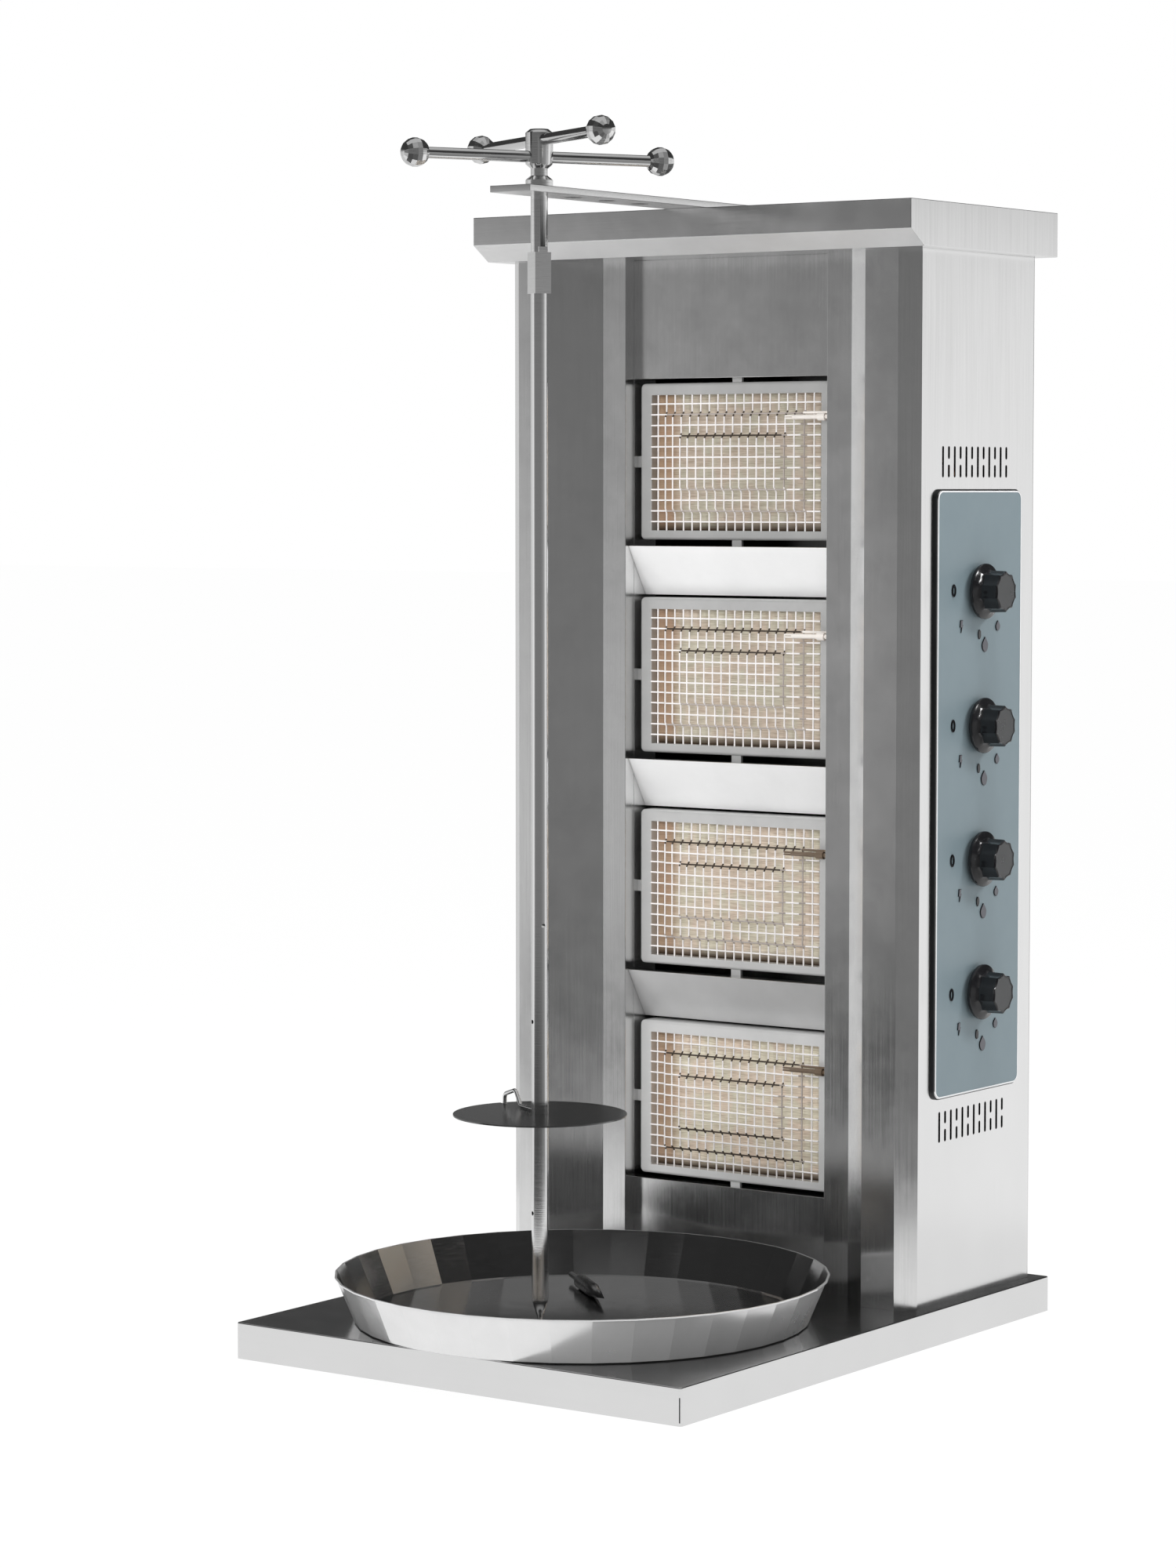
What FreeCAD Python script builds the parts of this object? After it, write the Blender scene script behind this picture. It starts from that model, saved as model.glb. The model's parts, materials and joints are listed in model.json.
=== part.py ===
import FreeCAD, Part
import math
import os
import re

import Sketcher

# Doner kebab grill, in millimetres. +X is the operator's right, +Y the back, +Z up.
# The origin is at the middle of the base's underside.

SIZES = {
    # Base tray and the channels under its deck
    "base_wide": 500,
    "base_deep": 642,
    "base_tall": 34,
    "base_sheet": 1.5,
    "base_lip": 14,
    "base_corner": 3,
    "base_edge": 1.2,
    "channel_wide": 60,
    "channel_flange": 14,
    "channel_sheet": 1.5,
    "channel_spread": 420,
    # Cabinet: side panels that fold into the front posts
    "cabinet_wide": 470,
    "cabinet_deep": 224.5,
    "cabinet_tall": 995.5,
    "cabinet_back_gap": 17,
    "panel_sheet": 1.2,
    "post_corner": 16,
    "post_face": 36.5,
    "post_slant": 38.5,
    "web_deep": 14.6,
    "bay_wide": 233.4,
    "front_fold": 17.3,
    "back_fold": 15,
    "side_flange": 14,
    "flange_margin": 40,
    "flange_screw_pitch": 60,
    "flange_end": 30,
    "back_screw_margin": 60,
    # Front panels above and below the burners
    "front_panel_lap": 13.3,
    "front_panel_return": 14,
    "panel_gap": 4.5,
    "return_gap": 1,
    "front_screw_margin": 25,
    # Cap
    "cap_wide": 502,
    "cap_overhang": 31,
    "cap_tall": 42.5,
    "cap_fascia": 27.3,
    "cap_slope_deep": 24,
    "cap_sheet": 1.2,
    "cap_ledge": 30,
    "cap_channel_wide": 60,
    "cap_channel_tall": 24,
    "cap_channel_sheet": 3,
    "cap_channel_margin": 24,
    # Burners
    "burner_low": 170.2,
    "burner_pitch": 209.6,
    "burner_set_back": 4.1,
    "frame_wide": 224.4,
    "frame_tall": 152.9,
    "frame_deep": 24,
    "frame_corner": 5,
    "frame_pillow": 3,
    "opening_wide": 197,
    "opening_tall": 132.5,
    "opening_drop": 1.2,
    "lip_deep": 10,
    "tile_ledge": 4,
    "tile_gap": 0.5,
    "lug_wide": 11,
    "lug_deep": 3.3,
    "rail_sheet": 1.5,
    "rail_deep": 37.4,
    # Wire screens: a net pressed forward in two steps
    "mesh_wire": 1.4,
    "mesh_pitch_x": 10.07,
    "mesh_pitch_z": 10.45,
    "mesh_step": 4.4,
    # Plenums with their mixing tubes
    "plenum_wide": 206,
    "plenum_tall": 142,
    "plenum_deep": 51,
    "plenum_sheet": 1.5,
    "mixer_radius": 13,
    "mixer_wall": 1.2,
    "mixer_reach": 165,
    "mixer_flare": 13,
    "mixer_mouth": 18,
    # Deflectors between the burners
    "deflector_ahead": 10.1,
    "deflector_shelf": 17.5,
    "deflector_run": 30,
    "deflector_drop": 48.5,
    "deflector_sheet": 1.2,
    "deflector_gap": 6,
    # Flame probes
    "probe_high": 42,
    "probe_ahead": 6.1,
    "probe_rod": 2.3,
    "probe_collar": 3.8,
    "probe_collar_long": 8,
    "probe_tip": 64,
    "probe_prong": 0.9,
    "probe_prong_long": 9,
    "probe_sheath_long": 29,
    "probe_tail": 40,
    "sensor_up": 4.2,
    "sensor_rod": 1.2,
    "sensor_back": 21,
    "probe_hole": 6,
    "probe_hole_shift": 1,
    "bracket_sheet": 1.5,
    "bracket_tall": 16,
    # Control panel on the right wall
    "control_thick": 4.5,
    "control_wide": 158.6,
    "control_tall": 576,
    "control_corner": 10,
    "control_high": 484,
    "control_from_back": 107,
    "knob_pitch": 127.5,
    "wall_hole": 8,
    "spindle_hole": 6,
    # Knobs
    "knob_gap": 4,
    "skirt_radius": 26.5,
    "skirt_thick": 3,
    "grip_radius": 19.7,
    "grip_foot": 22,
    "knob_deep": 25,
    "knob_wall": 2.5,
    "knob_round": 2.5,
    "hub_radius": 7.5,
    "flute_radius": 6,
    "flute_depth": 1.6,
    "knob_push": 3,
    # Valves, plugs and spindles
    "valve_set_back": 9,
    "valve_long": 38,
    "valve_radius": 15,
    "valve_boss": 9,
    "outlet_boss": 7,
    "outlet_rise": 5,
    "port_radius": 3,
    "plug_port": 1.5,
    "plug_radius": 7,
    "plug_long": 23,
    "plug_room": 0.5,
    "plug_end_wall": 2.5,
    "drive_square": 5.6,
    "drive_deep": 14.5,
    "spindle_radius": 4,
    "running_gap": 0.05,
    # Manifold, inlet and feed pipes
    "manifold_wide": 22,
    "manifold_wall": 2,
    "manifold_behind": 24,
    "manifold_above": 36,
    "inlet_radius": 10.45,
    "inlet_pipe": 9,
    "inlet_bore": 7,
    "inlet_gap": 1,
    "inlet_above": 10,
    "inlet_reach": 17,
    "inlet_shoulder": 2,
    "pipe_radius": 4,
    "pipe_bore": 3,
    "pipe_bend": 12,
    "pipe_level": 4,
    "injector_radius": 6.5,
    "injector_long": 9,
    "nozzle_radius": 4,
    "nozzle_long": 12,
    "jet_radius": 1,
    "strap_tall": 24,
    "strap_thick": 4,
    # Vents in the side panels
    "vent_wide": 3.6,
    "vent_pitch": 10.727,
    "vent_tall": 29.4,
    "vent_bridge": 5.2,
    "vent_above": 313.7,
    "vent_below": 315.1,
    "vent_from_back": 110.6,
    # Arm, its holes and screws
    "arm_wide": 45,
    "arm_thick": 6,
    "arm_nose": 44.3,
    "arm_tail": 19,
    "arm_hole_pitch": 53,
    "arm_gap": 0.1,
    "arm_screw_radius": 4,
    "arm_screw_head": 8,
    "arm_screw_end": 2,
    "arm_nut_radius": 7.2,
    "arm_nut_tall": 6,
    "arm_screw_pitch": 80,
    "arm_screw_first": 44,
    # Spit
    "spit_from_recess": 317.3,
    "washer_thick": 1,
    "shaft_radius": 7.8,
    "collar_radius": 12.5,
    "collar_tall": 5.6,
    "collar_slope": 3.9,
    "neck_tall": 6.5,
    "neck_slope": 4,
    "hub_tall": 28,
    "hub_crown": 3.3,
    "crown_slope": 4,
    "tip_above_pan": 1.8,
    "cone_tall": 25.5,
    "block_wide": 16,
    "block_tall": 37.2,
    "block_below": 89.4,
    "tongue_wide": 8.7,
    "tongue_thick": 2.5,
    "tongue_tall": 4.9,
    "cross_hole_low": 142.5,
    "cross_hole_pitch": 88.5,
    # Cross bars and balls
    "bar_radius": 5.2,
    "bar_reach": 123,
    "bar_angle": -27.8,
    "lower_bar_down": 21.5,
    "bar_spacing": 15,
    "ball_radius": 13.25,
    # Meat disc and its pin
    "disc_radius": 80,
    "disc_thick": 1.2,
    "pin_wire": 1.9,
    "pin_ahead": 62,
    "pin_foot": 75,
    "pin_rise": 12,
    "pin_crest": 52,
    "pin_crest_high": 18.6,
    "pin_landing": 41,
    "pin_bend": 4.75,
    "loose_gap": 0.3,
    # Drip pan and the loose spike
    "pan_from_front": 202.7,
    "pan_rim": 231,
    "pan_floor": 212.5,
    "pan_tall": 43.2,
    "pan_sheet": 1,
    "spike_radius": 7,
    "spike_stem": 2.8,
    "spike_stem_long": 38,
    "spike_body_long": 45,
    "spike_cone_long": 45,
    "spike_left": 112,
    "spike_back": 138.3,
    "spike_angle": -40.1,
    # Cabinet screws
    "screw_radius": 2.5,
    "screw_head": 4.5,
    "screw_head_tall": 2.5,
    "screw_gap": 0.1,
    "screw_grip": 6,
}
BURNERS = range(4)
FLANGE_SCREWS = 3
BACK_SCREWS = 5
ARM_SCREW_COUNT = 3
ARM_HOLE_COUNT = 4
CROSS_HOLES = 4
VENT_PAIRS = 6
BACK_SLOTS = 12
FLUTES = 10
NET_COLUMNS = 19
NET_ROWS = 12
NET_STEPS = (2, 4)

doc = FreeCAD.newDocument("doner_grill")
sheet = doc.addObject("Spreadsheet::Sheet", "Sizes")
for row, (alias, number) in enumerate(SIZES.items(), start=1):
    sheet.set("A%d" % row, alias)
    sheet.set("B%d" % row, str(number))
    sheet.setAlias("B%d" % row, alias)
doc.recompute()

# Levels and planes that several pieces share, as expressions of the sheet's cells
DECK = "base_tall"
BASE_BACK = "(base_deep / 2)"
BACK = "(base_deep / 2 - cabinet_back_gap)"
POST = "(base_deep / 2 - cabinet_back_gap - cabinet_deep)"
WEB_FRONT = "(%s + post_slant)" % POST
RECESS = "(%s + web_deep)" % WEB_FRONT
BURNER_Y = "(%s + burner_set_back)" % RECESS
FRAME_BACK = "(%s + frame_deep)" % BURNER_Y
CABINET_TOP = "(base_tall + cabinet_tall)"
CAP_TOP = "(base_tall + cabinet_tall + cap_tall)"
CAP_FRONT = "(%s - cap_overhang)" % POST
ARM_TOP = "(%s + arm_thick)" % CAP_TOP
WALL = "(cabinet_wide / 2)"
WEB = "(bay_wide / 2)"
CONTROL_Z = "(base_tall + control_high)"
CONTROL_Y = "(%s - control_from_back)" % BACK
CONTROL_FACE = "(%s + control_thick)" % WALL
SPIT_Y = "(%s - spit_from_recess)" % RECESS
PAN_Y = "(pan_from_front - base_deep / 2)"
PAN_FLOOR = "(base_tall + pan_sheet)"
VALVE_FRONT = "(%s - valve_set_back)" % WALL
VALVE_MIDDLE = "(%s - valve_long / 2)" % VALVE_FRONT
MANIFOLD_FRONT = "(%s + manifold_behind)" % CONTROL_Y

TURNS = {
    "x": FreeCAD.Rotation(FreeCAD.Vector(0, 1, 0), 90),
    "y": FreeCAD.Rotation(FreeCAD.Vector(1, 0, 0), -90),
    "z": FreeCAD.Rotation(),
}
PLANES = {"x": "YZ_Plane", "y": "XZ_Plane", "z": "XY_Plane"}
NODES = {}


def sized(text):
    """The expression with the sheet's name in front of each size it uses."""
    return re.sub("[a-z][a-z_]+", lambda word: "Sizes." * (word.group() in SIZES) + word.group(), text)


def read(name):
    """A size's number, for a shape that is set in code."""
    return float(sheet.get(name))


def place(made, x="0", y="0", z="0", turn=None):
    """Put a piece at a point given as expressions, turned about Z by an angle read from the sheet."""
    if turn is not None:
        spin = FreeCAD.Rotation(FreeCAD.Vector(0, 0, 1), turn)
        made.Placement = FreeCAD.Placement(FreeCAD.Vector(), spin)
    for axis, text in zip("xyz", (x, y, z)):
        made.setExpression(".Placement.Base." + axis, sized(text))
    return made


def box(name, x, y, z):
    """A block whose two ends along each axis are expressions."""
    made = doc.addObject("Part::Box", name)
    for side, (low, high) in zip(("Length", "Width", "Height"), (x, y, z)):
        made.setExpression(side, sized("(%s) - (%s)" % (high, low)))
    return place(made, x[0], y[0], z[0])


def ends(along, start, across):
    """The point where a round piece along an axis starts, from its start and its two other places."""
    point = list(across)
    point.insert("xyz".index(along), start)
    return point


def rod(name, radius, along, start, end, across):
    """A cylinder along an axis, at the two places across that axis."""
    made = doc.addObject("Part::Cylinder", name)
    made.Placement = FreeCAD.Placement(FreeCAD.Vector(), TURNS[along])
    made.setExpression("Radius", sized(radius))
    made.setExpression("Height", sized("(%s) - (%s)" % (end, start)))
    return place(made, *ends(along, start, across))


def cone(name, first, second, along, start, end, across):
    """A cone along an axis, from its first radius to its second."""
    made = doc.addObject("Part::Cone", name)
    made.Placement = FreeCAD.Placement(FreeCAD.Vector(), TURNS[along])
    made.setExpression("Radius1", sized(first))
    made.setExpression("Radius2", sized(second))
    made.setExpression("Height", sized("(%s) - (%s)" % (end, start)))
    return place(made, *ends(along, start, across))


def fuse(name, pieces):
    """One solid from pieces that meet."""
    made = doc.addObject("Part::MultiFuse", name)
    made.Shapes = pieces
    made.Refine = True
    return made


def group(name, pieces):
    """Separate solids that belong together."""
    made = doc.addObject("Part::Compound", name)
    made.Links = pieces
    return made


def cut(name, whole, tools):
    """A piece with holes and hollows taken out of it."""
    made = doc.addObject("Part::Cut", name)
    made.Base = whole
    made.Tool = tools[0] if len(tools) == 1 else group(name + "_tools", tools)
    made.Refine = True
    return made


def node(label, made):
    """Name a finished sub-part."""
    made.Label = label
    NODES[label] = made
    return made


def polygon(sketch, points):
    """A closed outline through points given as expressions of the sheet's cells."""
    first = sketch.GeometryCount
    count = len(points)
    rough = [FreeCAD.Vector(math.cos(2 * math.pi * i / count), math.sin(2 * math.pi * i / count), 0)
             for i in range(count)]
    for i in range(count):
        sketch.addGeometry(Part.LineSegment(rough[i], rough[(i + 1) % count]), False)
    for i in range(count):
        after = first + (i + 1) % count
        sketch.addConstraint(Sketcher.Constraint("Coincident", first + i, 2, after, 1))
    for i, point in enumerate(points):
        for kind, text, start in zip(("DistanceX", "DistanceY"), point, (rough[i].x, rough[i].y)):
            index = sketch.addConstraint(Sketcher.Constraint(kind, -1, 1, first + i, 1, start))
            sketch.setExpression("Constraints[%d]" % index, sized(text))


def slot(sketch, x, low, high, wide):
    """An upright slot with round ends, between two heights."""
    first = sketch.GeometryCount
    up = FreeCAD.Vector(0, 0, 1)
    top = Part.Circle(FreeCAD.Vector(0, 5, 0), up, 1)
    foot = Part.Circle(FreeCAD.Vector(0, -5, 0), up, 1)
    sketch.addGeometry(Part.ArcOfCircle(top, 0, math.pi), False)
    sketch.addGeometry(Part.ArcOfCircle(foot, math.pi, 2 * math.pi), False)
    sketch.addGeometry(Part.LineSegment(FreeCAD.Vector(-1, 5, 0), FreeCAD.Vector(-1, -5, 0)), False)
    sketch.addGeometry(Part.LineSegment(FreeCAD.Vector(1, -5, 0), FreeCAD.Vector(1, 5, 0)), False)
    left, right = first + 2, first + 3
    for one, end, other, start in ((first, 2, left, 1), (left, 2, first + 1, 1),
                                   (first + 1, 2, right, 1), (right, 2, first, 1)):
        sketch.addConstraint(Sketcher.Constraint("Coincident", one, end, other, start))
    for arc, height in ((first, "%s - %s / 2" % (high, wide)), (first + 1, "%s + %s / 2" % (low, wide))):
        for kind, text, start in (("DistanceX", x, 0), ("DistanceY", height, 5 - 10 * (arc - first))):
            index = sketch.addConstraint(Sketcher.Constraint(kind, -1, 1, arc, 3, start))
            sketch.setExpression("Constraints[%d]" % index, sized(text))
        index = sketch.addConstraint(Sketcher.Constraint("Radius", arc, 1))
        sketch.setExpression("Constraints[%d]" % index, sized("%s / 2" % wide))
        for end in (1, 2):
            sketch.addConstraint(Sketcher.Constraint("Horizontal", arc, 3, arc, end))


def sketched(body, name, along, offset="0"):
    """An empty sketch on the plane square to an axis, moved along that axis."""
    sketch = body.newObject("Sketcher::SketchObject", name)
    plane = [face for face in body.Origin.OriginFeatures if face.Role == PLANES[along]][0]
    sketch.AttachmentSupport = [(plane, "")]
    sketch.MapMode = "FlatFace"
    sketch.setExpression(".AttachmentOffset.Base.z", sized(offset))
    return sketch


def prism(name, along, points, low, high):
    """A body with one outline, from one place to another along an axis.

    The outline's points are (y, z) along x, (x, z) along y and (x, y) along z.
    """
    body = doc.addObject("PartDesign::Body", name)
    offset = "-(%s)" % high if along == "y" else low
    sketch = sketched(body, name + "_outline", along, offset)
    polygon(sketch, points)
    pad = body.newObject("PartDesign::Pad", name + "_pad")
    pad.Profile = sketch
    pad.setExpression("Length", sized("(%s) - (%s)" % (high, low)))
    return body


def turned(name, along, points):
    """A body of revolution about an axis, from (place along the axis, radius) points."""
    body = doc.addObject("PartDesign::Body", name)
    sketch = sketched(body, name + "_profile", "y")
    polygon(sketch, points if along == "x" else [(radius, height) for height, radius in points])
    spin = body.newObject("PartDesign::Revolution", name + "_turn")
    spin.Profile = sketch
    spin.ReferenceAxis = (sketch, ["H_Axis" if along == "x" else "V_Axis"])
    spin.Angle = 360
    return body


def rectangle(x, y):
    """The corners of a rectangle from its two ends each way."""
    return [(x[0], y[0]), (x[1], y[0]), (x[1], y[1]), (x[0], y[1])]


def both(half):
    """The two ends of a length that is centred on zero."""
    return ("-(%s)" % half, half)


def rounded(body, name, radius, chosen):
    """Round the edges of a body's last feature that a test chooses."""
    doc.recompute()
    last = body.Tip
    names = ["Edge%d" % (i + 1) for i, edge in enumerate(last.Shape.Edges) if chosen(edge)]
    fillet = body.newObject("PartDesign::Fillet", name)
    fillet.Base = (last, names)
    fillet.setExpression("Radius", sized(radius))
    return fillet


def runs_along(axis):
    """A test for straight edges along an axis."""
    def chosen(edge):
        if edge.Curve.TypeId != "Part::GeomLine":
            return False
        return abs(getattr(edge.tangentAt(edge.FirstParameter), axis)) > 0.999
    return chosen


def lies_at(axis, end):
    """A test for edges that lie in the lowest or the highest plane square to an axis."""
    def chosen(edge):
        low = getattr(edge.BoundBox, axis + "Min")
        high = getattr(edge.BoundBox, axis + "Max")
        return high - low < 1e-4 and abs(low - end) < 1e-3
    return chosen


def burner_z(i):
    """Height of a burner's centre, counted from the top."""
    return "(base_tall + burner_low + %d * burner_pitch)" % (BURNERS[-1] - i)


def knob_z(i):
    """Height of a knob's centre, counted from the top."""
    return "(base_tall + control_high + %.1f * knob_pitch)" % (1.5 - i)


UPPER_PANEL = "(%s + frame_tall / 2 + panel_gap)" % burner_z(0)
LOWER_PANEL = "(%s - frame_tall / 2 - panel_gap)" % burner_z(BURNERS[-1])


def screw(name, along, start, way, across):
    """A pan-head screw: its head stands before the start, its shank goes on the way (1 or -1)."""
    head_end = "%s - %d * screw_head_tall" % (start, way)
    shank_end = "%s + %d * screw_grip" % (start, way)
    pair = ((start, head_end, "screw_head"), (start, shank_end, "screw_radius"))
    parts = []
    for i, (one, other, radius) in enumerate(pair):
        low, high = (one, other) if (i == 0) == (way < 0) else (other, one)
        parts.append(rod("%s_%d" % (name, i), radius, along, low, high, across))
    return fuse(name, parts)


def screw_hole(name, along, low, high, across):
    """A clearance hole for a screw, through the sheets between two places."""
    return rod(name, "screw_radius + screw_gap", along, low, high, across)


# Places of the cabinet's screws
FLANGE_X = "(%s - panel_sheet - side_flange / 2)" % WALL
FLANGE_YS = ["(%s - flange_margin - %d * flange_screw_pitch)" % (BACK, i) for i in range(FLANGE_SCREWS)]
BACK_X = "(%s - back_fold / 2)" % WALL
BACK_ZS = ["(base_tall + back_screw_margin + (cabinet_tall - 2 * back_screw_margin) * %d / %d)"
           % (i, BACK_SCREWS - 1) for i in range(BACK_SCREWS)]
FRONT_X = "(%s + front_panel_lap / 2)" % WEB
FRONT_ZS = ["(%s + front_screw_margin)" % UPPER_PANEL, "(%s - front_screw_margin)" % CABINET_TOP,
            "(base_tall + front_screw_margin)", "(%s - front_screw_margin)" % LOWER_PANEL]


def make_base():
    """The low tray on which everything stands, and the channels that stiffen its deck."""
    body = prism("base_block", "z", rectangle(both("base_wide / 2"), both("base_deep / 2")), "0", DECK)
    rounded(body, "base_corners", "base_corner", runs_along("z"))
    rounded(body, "base_rim", "base_edge", lies_at("Z", read("base_tall")))
    inner = [both("base_%s / 2 - base_sheet" % way) for way in ("wide", "deep")]
    mouth = [both("base_%s / 2 - base_lip" % way) for way in ("wide", "deep")]
    tools = [box("base_hollow", inner[0], inner[1], ("base_sheet", DECK + " - base_sheet")),
             box("base_mouth", mouth[0], mouth[1], ("0", "base_sheet"))]
    for side in (-1, 1):
        for i, y in enumerate(FLANGE_YS):
            across = ("%d * %s" % (side, FLANGE_X), y)
            name = "base_hole_%d_%d" % (side + 1, i)
            tools.append(screw_hole(name, "z", DECK + " - base_sheet", DECK, across))
    node("base_deck", cut("base_tray", body, tools))

    half = "channel_wide / 2"
    top = "%s - base_sheet" % DECK
    under = top + " - channel_sheet"
    flange, inner = half + " + channel_flange", half + " - channel_sheet"
    right = [(half, "0"), (half, under), (flange, under), (flange, top), (inner, top), (inner, "channel_sheet")]
    outline = right + [("-(%s)" % y, z) for y, z in reversed(right)]
    channels = []
    for i in (-1, 0, 1):
        channel = prism("base_channel_%d" % (i + 1), "x", outline, *both("base_wide / 2 - base_lip"))
        channels.append(place(channel, y="%d * channel_spread / 2" % i))
    node("base_channels", group("base_channel_set", channels))


def post_outline(side):
    """A side panel from above: wall, post and folds, as one folded sheet of even thickness."""
    sheet_k = "panel_sheet * tan(22.5)"
    corner = "%s - post_corner" % WALL
    face = "%s - post_corner - post_face" % WALL
    slant = "%s - post_corner - post_face - post_slant" % WALL
    outer = [("%s - back_fold" % WALL, BACK), (WALL, BACK), (WALL, "%s + post_corner" % POST),
             (corner, POST), (face, POST), (slant, WEB_FRONT), (WEB, WEB_FRONT), (WEB, RECESS),
             ("%s + front_fold" % WEB, RECESS)]
    inner = [("%s - back_fold" % WALL, "%s - panel_sheet" % BACK),
             ("%s - panel_sheet" % WALL, "%s - panel_sheet" % BACK),
             ("%s - panel_sheet" % WALL, "%s + post_corner + %s" % (POST, sheet_k)),
             ("%s - %s" % (corner, sheet_k), "%s + panel_sheet" % POST),
             ("%s + %s" % (face, sheet_k), "%s + panel_sheet" % POST),
             ("%s + %s" % (slant, sheet_k), "%s + panel_sheet" % WEB_FRONT),
             ("%s + panel_sheet" % WEB, "%s + panel_sheet" % WEB_FRONT),
             ("%s + panel_sheet" % WEB, "%s - panel_sheet" % RECESS),
             ("%s + front_fold" % WEB, "%s - panel_sheet" % RECESS)]
    return [("%d * (%s)" % (side, x), y) for x, y in outer + inner[::-1]]


def make_vents(body, name, side, middle):
    """Two rows of slots in a side wall: a long slot, then a pair of short ones, over and over."""
    sketch = sketched(body, name + "_slots", "x", "%d * %s" % (side, WALL))
    first = "%s - vent_from_back - %.1f * vent_pitch" % (BACK, VENT_PAIRS - 0.5)
    low, high = "%s - vent_tall / 2" % middle, "%s + vent_tall / 2" % middle
    slot(sketch, first, low, high, "vent_wide")
    slot(sketch, first + " + vent_pitch", low, middle + " - vent_bridge / 2", "vent_wide")
    slot(sketch, first + " + vent_pitch", middle + " + vent_bridge / 2", high, "vent_wide")
    pocket = body.newObject("PartDesign::Pocket", name + "_cut")
    pocket.Profile = sketch
    pocket.Midplane = True
    pocket.setExpression("Length", sized("4 * panel_sheet"))
    row = body.newObject("PartDesign::LinearPattern", name + "_row")
    row.Originals = [pocket]
    row.Direction = (sketch, ["H_Axis"])
    row.setExpression("Length", sized("%d * vent_pitch" % (2 * (VENT_PAIRS - 1))))
    row.Occurrences = VENT_PAIRS
    body.Tip = row


def make_side_panel(side, label):
    """A side wall with its front post, folds, flanges and vents; the right one has the controls' holes."""
    body = prism(label + "_sheet", "z", post_outline(side), DECK, CABINET_TOP)
    make_vents(body, label + "_upper", side, "(%s + vent_above)" % CONTROL_Z)
    make_vents(body, label + "_lower", side, "(%s - vent_below)" % CONTROL_Z)
    inside = ["%d * (%s - panel_sheet - side_flange)" % (side, WALL),
              "%d * (%s - panel_sheet / 2)" % (side, WALL)]
    reach = (FLANGE_YS[-1] + " - flange_end", FLANGE_YS[0] + " + flange_end")
    levels = ((DECK, DECK + " + panel_sheet"), (CABINET_TOP + " - panel_sheet", CABINET_TOP))
    flanges = [box("%s_flange_%d" % (label, i), inside[::side], reach, level)
               for i, level in enumerate(levels)]
    tools = []
    for i, y in enumerate(FLANGE_YS):
        for j, (low, high) in enumerate(levels):
            across = ("%d * %s" % (side, FLANGE_X), y)
            tools.append(screw_hole("%s_flange_hole_%d_%d" % (label, i, j), "z", low, high, across))
    for i, z in enumerate(BACK_ZS):
        across = ("%d * %s" % (side, BACK_X), z)
        tools.append(screw_hole("%s_back_hole_%d" % (label, i), "y", BACK + " - panel_sheet", BACK, across))
    for i, z in enumerate(FRONT_ZS):
        across = ("%d * %s" % (side, FRONT_X), z)
        name = "%s_front_hole_%d" % (label, i)
        tools.append(screw_hole(name, "y", RECESS + " - panel_sheet", RECESS, across))
    if side > 0:
        for i in BURNERS:
            tools.append(rod("knob_wall_hole_%d" % i, "wall_hole", "x", WALL + " - 2 * panel_sheet",
                             WALL + " + panel_sheet", (CONTROL_Y, knob_z(i))))
            tools.append(rod("probe_wall_hole_%d" % i, "probe_hole", "x", WEB + " - panel_sheet",
                             WEB + " + 2 * panel_sheet", PROBE_HOLE[i]))
    node(label, cut(label + "_holed", fuse(label + "_folded", [body] + flanges), tools))


PROBE_Y = "(%s - probe_ahead)" % RECESS
PROBE_HOLE = [("%s - probe_hole_shift" % PROBE_Y, "%s + probe_high + probe_hole_shift" % burner_z(i))
              for i in BURNERS]


def make_back_panel():
    """The flat back sheet, with the hole for the gas inlet and two rows of slots."""
    sheet_box = box("back_sheet", both(WALL), (BACK, BACK + " + panel_sheet"), (DECK, CABINET_TOP))
    tools = [rod("inlet_hole", "inlet_radius + inlet_gap", "y", BACK, BACK + " + panel_sheet",
                 (VALVE_MIDDLE, INLET_Z))]
    for side in (-1, 1):
        for i, z in enumerate(BACK_ZS):
            across = ("%d * %s" % (side, BACK_X), z)
            name = "back_hole_%d_%d" % (side + 1, i)
            tools.append(screw_hole(name, "y", BACK, BACK + " + panel_sheet", across))
    for i in range(BACK_SLOTS):
        x = "%d * vent_pitch" % (2 * i - BACK_SLOTS + 1)
        for j, middle in enumerate(("%s + vent_above" % CONTROL_Z, "%s - vent_below" % CONTROL_Z)):
            tools.append(box("back_slot_%d_%d" % (i, j), (x + " - vent_wide / 2", x + " + vent_wide / 2"),
                             (BACK, BACK + " + panel_sheet"),
                             (middle + " - vent_tall", middle + " + vent_tall")))
    node("back_panel", cut("back_holed", sheet_box, tools))


INLET_Z = "(%s - inlet_above)" % knob_z(3)


def make_front_panels():
    """The two plain panels above and below the burners, each with its edges folded back."""
    wide = both("%s + front_panel_lap" % WEB)
    inner = both("%s - return_gap" % WEB)
    back = RECESS + " + front_panel_return"
    spans = {"upper_front_panel": (UPPER_PANEL, CABINET_TOP), "lower_front_panel": (DECK, LOWER_PANEL)}
    for label, (low, high) in spans.items():
        pieces = [box(label + "_sheet", wide, (RECESS, RECESS + " + panel_sheet"), (low, high))]
        for i, level in enumerate(((low, low + " + panel_sheet"), (high + " - panel_sheet", high))):
            pieces.append(box("%s_return_%d" % (label, i), inner, (RECESS, back), level))
        tools = []
        heights = FRONT_ZS[:2] if label.startswith("upper") else FRONT_ZS[2:]
        for side in (-1, 1):
            for i, z in enumerate(heights):
                across = ("%d * %s" % (side, FRONT_X), z)
                name = "%s_hole_%d_%d" % (label, side + 1, i)
                tools.append(screw_hole(name, "y", RECESS, RECESS + " + panel_sheet", across))
        node(label, cut(label + "_holed", fuse(label + "_folded", pieces), tools))


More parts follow.
